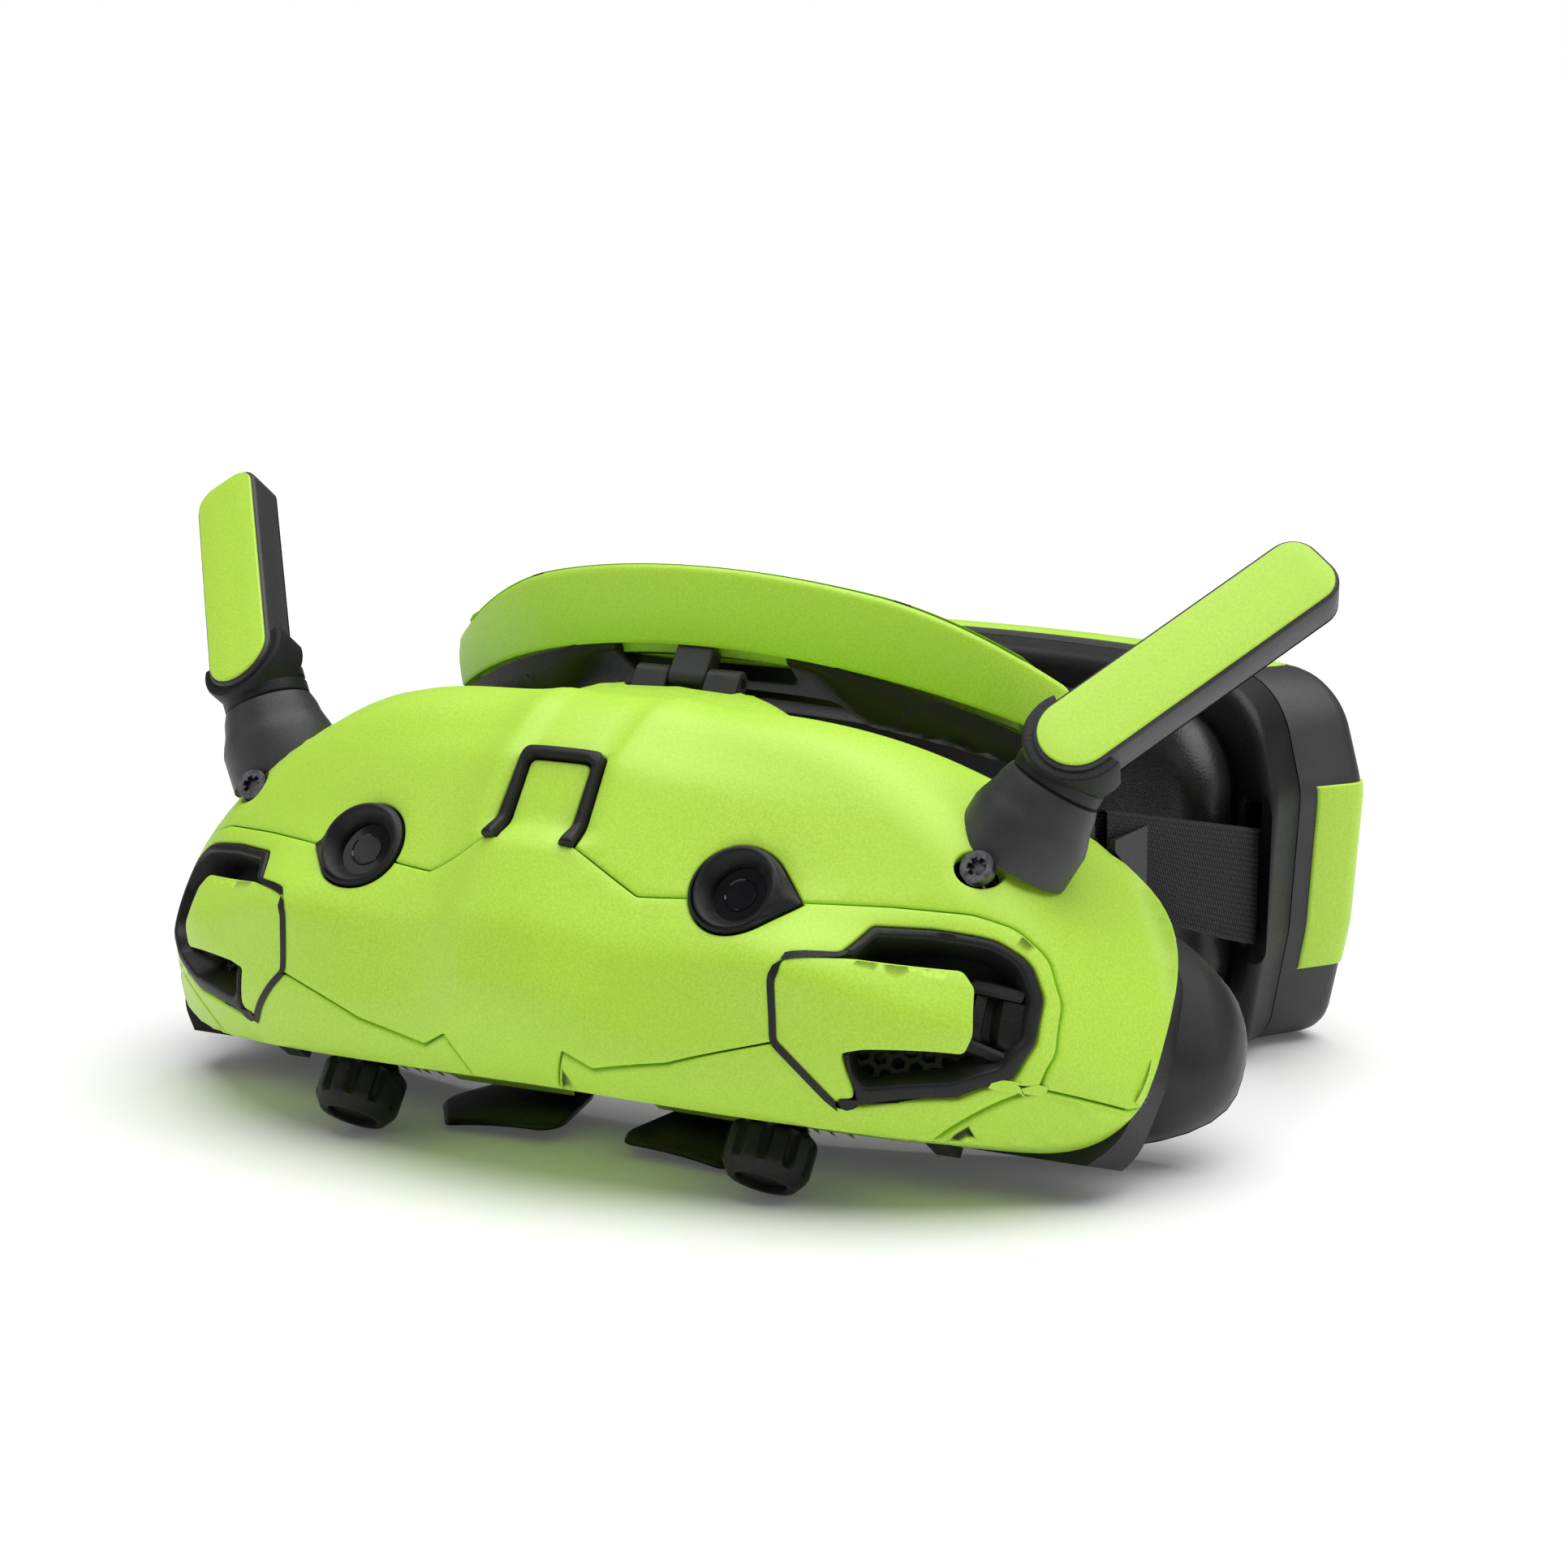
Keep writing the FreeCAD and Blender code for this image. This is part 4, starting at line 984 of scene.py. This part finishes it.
def pad_under(x, y, depth):
    """The dark underside: a shallow belly on each side of the hinge."""
    front, rear = arc_depth(x, *PAD_FRONT), arc_depth(x, *PAD_BACK)
    share = clamp((y - front) / max(0.5, rear - front))
    belly = 5.0 * ease((abs(x) - 17) / 12) * math.sin(math.pi * share) ** 0.8
    return worn(*(on_pad(x, y, depth - 0.9) - Vector((0, 0, belly))))


def recess_floor(x, y, depth):
    return worn(*on_pad(x, max(y, arc_depth(x, 21.6, 46)), depth + 2.6))


THIN_EDGE = [(0, 1), (0, 0)]
panel("pad_underside", [pad_outline(0.9)], [HINGE_ROOM], pad_under,
      [(0.3, 2.6), (0, 1)] + soft_edge(0.6, 0.7, 3)[1:], "black_plastic", ["forehead_frame"],
      body="forehead_pad", grid=1.8)
panel("pad_hinge_recess", [rounded([(-17, 17.5), (-16, 31), (16, 31), (17, 17.5)], 1.5)], [],
      recess_floor, THIN_EDGE, "black_plastic", body="forehead_pad", grid=2.5)
HINGE_Y, HINGE_Z, HINGE_R = 22.5, 44.2, 1.9
KNUCKLES = ((-9.5, -3.5, "headset"), (3.5, 9.5, "headset"), (-3.3, 3.3, "forehead_pad"))
for k, (xa, xb, body) in enumerate(KNUCKLES):
    # a knuckle of the body runs down to its foot, and the pad's own one runs up to the pad
    way, foot_z = (-1, HINGE_Z - 3.4) if body == "headset" else (1, HINGE_Z + 5.2)
    rings = []
    for x, shrink in ((xa, 0.3), (xa + 0.25, 0), (xb - 0.25, 0), (xb, 0.3)):
        r = HINGE_R - shrink
        ring = []
        for a in np.linspace(0, 2 * math.pi, 33)[:-1]:
            z = foot_z if way * math.sin(a) > 0.2 else HINGE_Z + r * math.sin(a)
            ring.append(worn(x, HINGE_Y + r * math.cos(a), z))
        rings.append(ring)
    add_piece("hinge_knuckle_%d" % k, *ring_loft(rings, caps=True), "grey_plastic",
              ["forehead_bracket"] if k == 0 else (), body, sharp=35)


def pillow_lift(s, h, depth):
    """The cushion against the forehead, in lengths along the pad's back and up its lean."""
    crown = 9.4 + 0.8 * math.cos(s / 38)
    radius = 120.0 - 0.2 - crown + depth
    a = s / 118.0
    return worn(*on_pad(radius * math.sin(a), 154.6 - radius * math.cos(a), h))


PILLOW = rounded([(-54, -1), (-51, 12.6), (51, 12.6), (54, -1)], 5)
cushion = panel("forehead_pillow", [PILLOW], [], pillow_lift,
                [(1.5, 9.6), (0.4, 8.6)] + soft_edge(6, 7.5, 7)[1:], "pad_leather",
                ["forehead_cushion"], body="forehead_pad", grid=2.2, gap=0, back=9.6)

# ---- rubber face shield ----
SHIELD_ROWS = [(36.5, 82, 30.5, -15.5), (43, 83.5, 31.5, -16.5), (46.5, 86, 32, -17.2),
               (49.5, 89.5, 32.3, -17.5), (53, 92.2, 32, -17.2), (57.5, 93, 31.5, -16.6),
               (61.5, 92.2, 31, -15.8), (64, 90.8, 30.4, -15)]
SHIELD_Y, SHIELD_DEEP, SHIELD_Z, SHIELD_POWER = 36.5, 28, 4, 2.6
FACE_ARC = 200.0


def shield_ring(y, half, top, low, inset):
    """One ring of the shield: a rounded box with an arch for the nose, bent round the face."""
    ring = []
    for a in turns(220):
        c, s = math.cos(a), math.sin(a)
        high = top - SHIELD_Z - inset if s > 0 else SHIELD_Z - low - inset
        size = ((abs(c) / (half - inset)) ** SHIELD_POWER
                + (abs(s) / high) ** SHIELD_POWER) ** (-1 / SHIELD_POWER)
        x, z = c * size, SHIELD_Z + s * size
        if s < 0 and y > 37:
            z = max(z, -9.0 + inset - 2.2 * max(0, abs(x) - 7.0 - inset))
        reach = 249.5 - math.sqrt(max(0, FACE_ARC ** 2 - x * x))
        share = min(1, (min(reach, SHIELD_Y + SHIELD_DEEP) - SHIELD_Y) / SHIELD_DEEP)
        p = worn(x, SHIELD_Y + (y - SHIELD_Y) * share, z)
        p.z = max(p.z, 0.00015)
        ring.append(p)
    return ring


rings = [shield_ring(*row, 0) for row in SHIELD_ROWS[:-1]]
y, half, top, low = SHIELD_ROWS[-1]
rings += [shield_ring(62.4, 92, 30.9, -15.6, inset) for inset in (0.15, 0.55)]
rings += [shield_ring(63, 91.7, 30.8, -15.4, inset) for inset in (0.5, 0)]
rings += [shield_ring(y + further, half, top, low, inset)
          for further, inset in ((0, -0.1), (0.9, 0.6), (0.8, 1.7), (-0.3, 3.4))]
rings += [shield_ring(*row, 6.5 + 0.3 * k) for k, row in enumerate(SHIELD_ROWS[-2:2:-1])]
shield = add_piece("shield_rubber_hood", *ring_loft(rings), "shield_rubber", ["face_shield"], sharp=60)


def flap_lift(m):
    """A nose leaf: it slopes up toward the face and curls at its outer side."""
    def lift(x, y, depth):
        curl = 0.055 * (x - 8) ** 2 / 10.0 - 0.10 * (y - 40)
        z = -27.2 + 0.72 * (y - 36) - curl - depth
        p = worn(m * x, y, z)
        p.z = max(p.z, 0.0003)
        return p
    return lift


LEAF = rounded([(5, 34), (8.5, 48), (25, 52), (34, 45), (25, 34)], 3)
for side, m in SIDES:
    flap = panel("nose_leaf_" + side, [LEAF], [], flap_lift(m), soft_edge(0.45, 0.9, 3),
                 "shield_rubber", ["nose_flaps"], grid=1.8, gap=0, back=1.1)


# ---- head straps ----
def smooth_path(points, step):
    """A path through the points, rounded like bent webbing."""
    out = []
    for i in range(len(points) - 1):
        p0, p1, p2, p3 = (Vector(points[clamp(i + k, 0, len(points) - 1)]) for k in (-1, 0, 1, 2))
        parts = max(2, int((p2 - p1).length / step))
        for k in range(parts):
            t = k / parts
            out.append(0.5 * ((2 * p1) + (p2 - p0) * t + (2 * p0 - 5 * p1 + 4 * p2 - p3) * t * t
                              + (3 * p1 - p0 - 3 * p2 + p3) * t ** 3))
    out.append(Vector(points[-1]))
    return out


STRAP_PATH = [(70.2, 47), (71.3, 58), (72.6, 72), (73.9, 86), (74.5, 97), (74.6, 113)]
STRAP_TOP = ([40, 94, 104, 113], [9.2, -3.4, -5.8, -5.8])
STRAP_FOOT = ([40, 56, 72, 90, 101, 113], [-3, -7.8, -15.6, -21.6, -24.8, -24.8])
STRAP_WIDE = 19
SECTION = [(-1, 0.03), (-1.05, 0.25), (-1.05, 0.5), (-1.05, 0.75), (-1, 0.97), (-0.6, 1),
           (0.6, 1), (1, 0.97), (1.05, 0.75), (1.05, 0.5), (1.05, 0.25), (1, 0.03), (0.6, 0),
           (-0.6, 0)]


def spot_key(p):
    return (round(p.x, 6), round(p.y, 6), round(p.z, 6))


for side, m in SIDES:
    path = smooth_path(STRAP_PATH, 1.5)
    rings, lengths, total = [], [], 0.0
    for i, p in enumerate(path):
        way = (path[min(i + 1, len(path) - 1)] - path[max(i - 1, 0)]).normalized()
        out = Vector((way.y, -way.x))
        low, high = np.interp(p.y, *STRAP_FOOT), np.interp(p.y, *STRAP_TOP)
        rings.append([table(m * (p.x + out.x * t), p.y + out.y * t, low + (high - low) * h)
                      for t, h in SECTION])
        if i:
            total += (p - path[i - 1]).length
        lengths.append(total)
    strap = add_piece("strap_web_" + side, *ring_loft(rings), "strap_webbing",
                      ["head_straps"], sharp=50).data
    weave = strap.uv_layers.new(name="weave")
    spots = {}
    for along, ring in zip(lengths, rings):
        for p, (t, h) in zip(ring, SECTION):
            spots[spot_key(p)] = (along, STRAP_WIDE * h)
    for loop in strap.loops:
        corner = strap.vertices[loop.vertex_index].co
        weave.data[loop.index].uv = spots.get(spot_key(corner), (0, 0))

# ---- battery box ----
BOX_LOW, BOX_HIGH, ARC_Y = -46.5, 17.5, 5.0
BOX_FRONT, BOX_SEAM, BOX_BACK, FLARE = 121.8, 132.8, 146.5, 132.2
BOX = rounded([(-73, BOX_HIGH), (-79, BOX_HIGH - 18), (-77, BOX_LOW + 22), (-72, BOX_LOW),
               (72, BOX_LOW), (77, BOX_LOW + 22), (79, BOX_HIGH - 18), (73, BOX_HIGH)],
              [13, 12, 14, 8, 8, 14, 12, 13], 1.6)


def on_arc(x, z, radius):
    """A point on an upright cylinder round the head."""
    return table(x, ARC_Y + math.sqrt(max(1, radius * radius - x * x)), z)


def on_flare(x, z, radius):
    """The outer cover: its ends run out along the radii, widening away from the head."""
    turn = math.asin(x / FLARE)
    return table(radius * math.sin(turn), ARC_Y + radius * math.cos(turn), z)


BUTTON_HOLE = [(36.1 + 0.9 * x, z - 26.5) for x, z in circle(0, 0, 4.1, 36)]
panel("box_outer_shell", [BOX], [BUTTON_HOLE], lambda x, z, d: on_flare(x, z, BOX_BACK - d),
      soft_edge(4, 14.3, 6), "grey_plastic", ["battery_outer_cover"], body="battery_box", grid=3.5,
      gap=0)
STRAP_SLOT = rounded([(71.9, -25.6), (71.9, -1.4), (76.3, -1.4), (75.6, -25.6)], 1.2, 0.8)
panel("box_inner_shell", [BOX], [STRAP_SLOT, flip(STRAP_SLOT)],
      lambda x, z, d: on_arc(x, z, BOX_FRONT + d), soft_edge(2.6, 10, 5), "black_plastic",
      ["battery_inner_cover"], body="battery_box", grid=3.5, gap=0)
panel("box_seam", [BOX], [], lambda x, z, d: on_arc(x * 0.985, z * 0.985, BOX_SEAM - d), THIN_EDGE,
      "black_plastic", body="battery_box", grid=6, gap=0, back=1)


def rear_pillow(x, z, depth):
    side = 1.3 * math.cos(x / 15) * math.exp(-((abs(x) - 46) / 16) ** 2)
    crown = 10.0 + 1.1 * math.cos(z / 26) + side
    return on_arc(x, z, 121.9 - crown + depth)


REAR = rounded([(-70, -40), (-70, 12), (70, 12), (70, -40)], 13)
pad = panel("rear_pillow", [REAR], [], rear_pillow, [(0.6, 9.9), (0, 9)] + soft_edge(8.5, 8.6, 8)[1:],
            "pad_leather", ["rear_pad"], body="battery_box", grid=2.6, gap=0, back=9.9)


def box_edge(z):
    """Half width of the box's outline at a height."""
    for (xa, za), (xb, zb) in zip(BOX, BOX[1:] + BOX[:1]):
        if xa > 0 and (za - z) * (zb - z) <= 0 and abs(za - zb) > 1e-9:
            return xa + (xb - xa) * (z - za) / (zb - za)
    return 0.0


def wrap_label(m):
    """A label that wraps the box's end, from behind the parting line onto the back."""
    rows = [(-0.05, 11), (-0.3, 10.8), (-0.35, 10.4), (-0.35, 7), (-0.35, 4.2)]
    for k in range(1, 9):
        a = 0.5 * math.pi * k / 8
        rows.append((4.0 - 4.35 * math.cos(a), 4.0 - 4.35 * math.sin(a)))
    rows += [(inset, -0.35) for inset in (6, 8, 10, 12, 14)] + [(14.4, -0.05)]
    zs = [-32.2, -32] + list(np.linspace(-31, -1, 22)) + [0, 0.2]
    rings = []
    for inset, depth in rows:
        ring = []
        for z in zs:
            sunk = 0.3 if z in (-32.2, 0.2) else 0.0
            ring.append(on_flare(m * (box_edge(z) - inset - sunk), z, BOX_BACK - depth - sunk))
        rings.append(ring)
    return ring_loft(rings, closed=False)


labels = joined([wrap_label(1), wrap_label(-1)])
add_piece("box_end_skins", *labels, "lime_skin", ["battery_labels"], body="battery_box", sharp=50)
TOP_ROWS = [(-0.1, 8.6), (0.2, 8.3), (0.25, 6), (0.25, 4), (-0.28, 1.9), (-1.5, 0.5), (-3.4, -0.2),
            (-5, -0.22), (-5.2, 0.1)]
rings = []
for rise, depth in TOP_ROWS:
    rings.append([on_flare(x, BOX_HIGH + rise - (0.3 if k in (0, 60) else 0), BOX_BACK - depth)
                  for k, x in enumerate(np.linspace(-64, 64, 61))])
add_piece("box_top_skin", *ring_loft(rings, closed=False), "lime_skin", body="battery_box", sharp=50)

# ---- floor, lights, camera ----
bpy.ops.mesh.primitive_plane_add(size=30, location=(0, 0, -0.0002))
floor = bpy.context.object
floor.name = "floor"
WHITE = (1, 1, 1, 1)
n = Nodes("floor_white")
pale = n.shade(n.noise(3), (0.86, 0.86, 0.86), (0.88, 0.88, 0.88), 0.3, 0.7)
floor.data.materials.append(n.finish(pale, Roughness=0.8, Specular_IOR_Level=0, Emission_Color=WHITE,
                                     Emission_Strength=0.06))
LIGHT_TARGET = Vector((0, 0, 0.05))


def area_light(name, place, size, power):
    data = bpy.data.lights.new(name, "AREA")
    data.shape = "RECTANGLE"
    data.size, data.size_y = size
    data.energy = power
    lamp = placed(name, data)
    lamp.location = place
    lamp.rotation_euler = (LIGHT_TARGET - Vector(place)).to_track_quat("-Z", "Y").to_euler()


sun = bpy.data.lights.new("sky_box", "SUN")
sun.energy = 3.4
sun.angle = math.radians(75)
placed("sky_box", sun).rotation_euler = (math.radians(-8), math.radians(5), 0)
area_light("left_box", (-0.9, -0.5, 0.55), (0.5, 0.7), 1)
area_light("right_box", (1, 0.1, 0.6), (0.4, 0.8), 1.6)

# a dim white world, which the camera itself sees as plain white
world = bpy.data.worlds.new("studio")
bpy.context.scene.world = world
world.use_nodes = True
sky = world.node_tree
dim = sky.nodes["Background"]
bright = sky.nodes.new("ShaderNodeBackground")
for shade, strength in ((dim, 0.12), (bright, 1)):
    shade.inputs["Color"].default_value = WHITE
    shade.inputs["Strength"].default_value = strength
rays = sky.nodes.new("ShaderNodeLightPath")
chosen = sky.nodes.new("ShaderNodeMixShader")
sky.links.new(rays.outputs["Is Camera Ray"], chosen.inputs[0])
sky.links.new(dim.outputs[0], chosen.inputs[1])
sky.links.new(bright.outputs[0], chosen.inputs[2])
sky.links.new(chosen.outputs[0], sky.nodes["World Output"].inputs["Surface"])
bpy.context.scene.view_settings.view_transform = "Standard"

CAMERA_AT = Vector((0.28770, -0.53262, 0.16942))
CAMERA_WAY = Vector((-0.46137, 0.86495, -0.19749))
camera_data = bpy.data.cameras.new("camera")
camera_data.lens = 85.05
camera_data.sensor_width = 36.0
camera_data.clip_end = 30.0
camera = placed("camera", camera_data)
camera.location = CAMERA_AT
camera.rotation_euler = CAMERA_WAY.to_track_quat("-Z", "Y").to_euler()
bpy.context.scene.camera = camera

low, high = cad_box
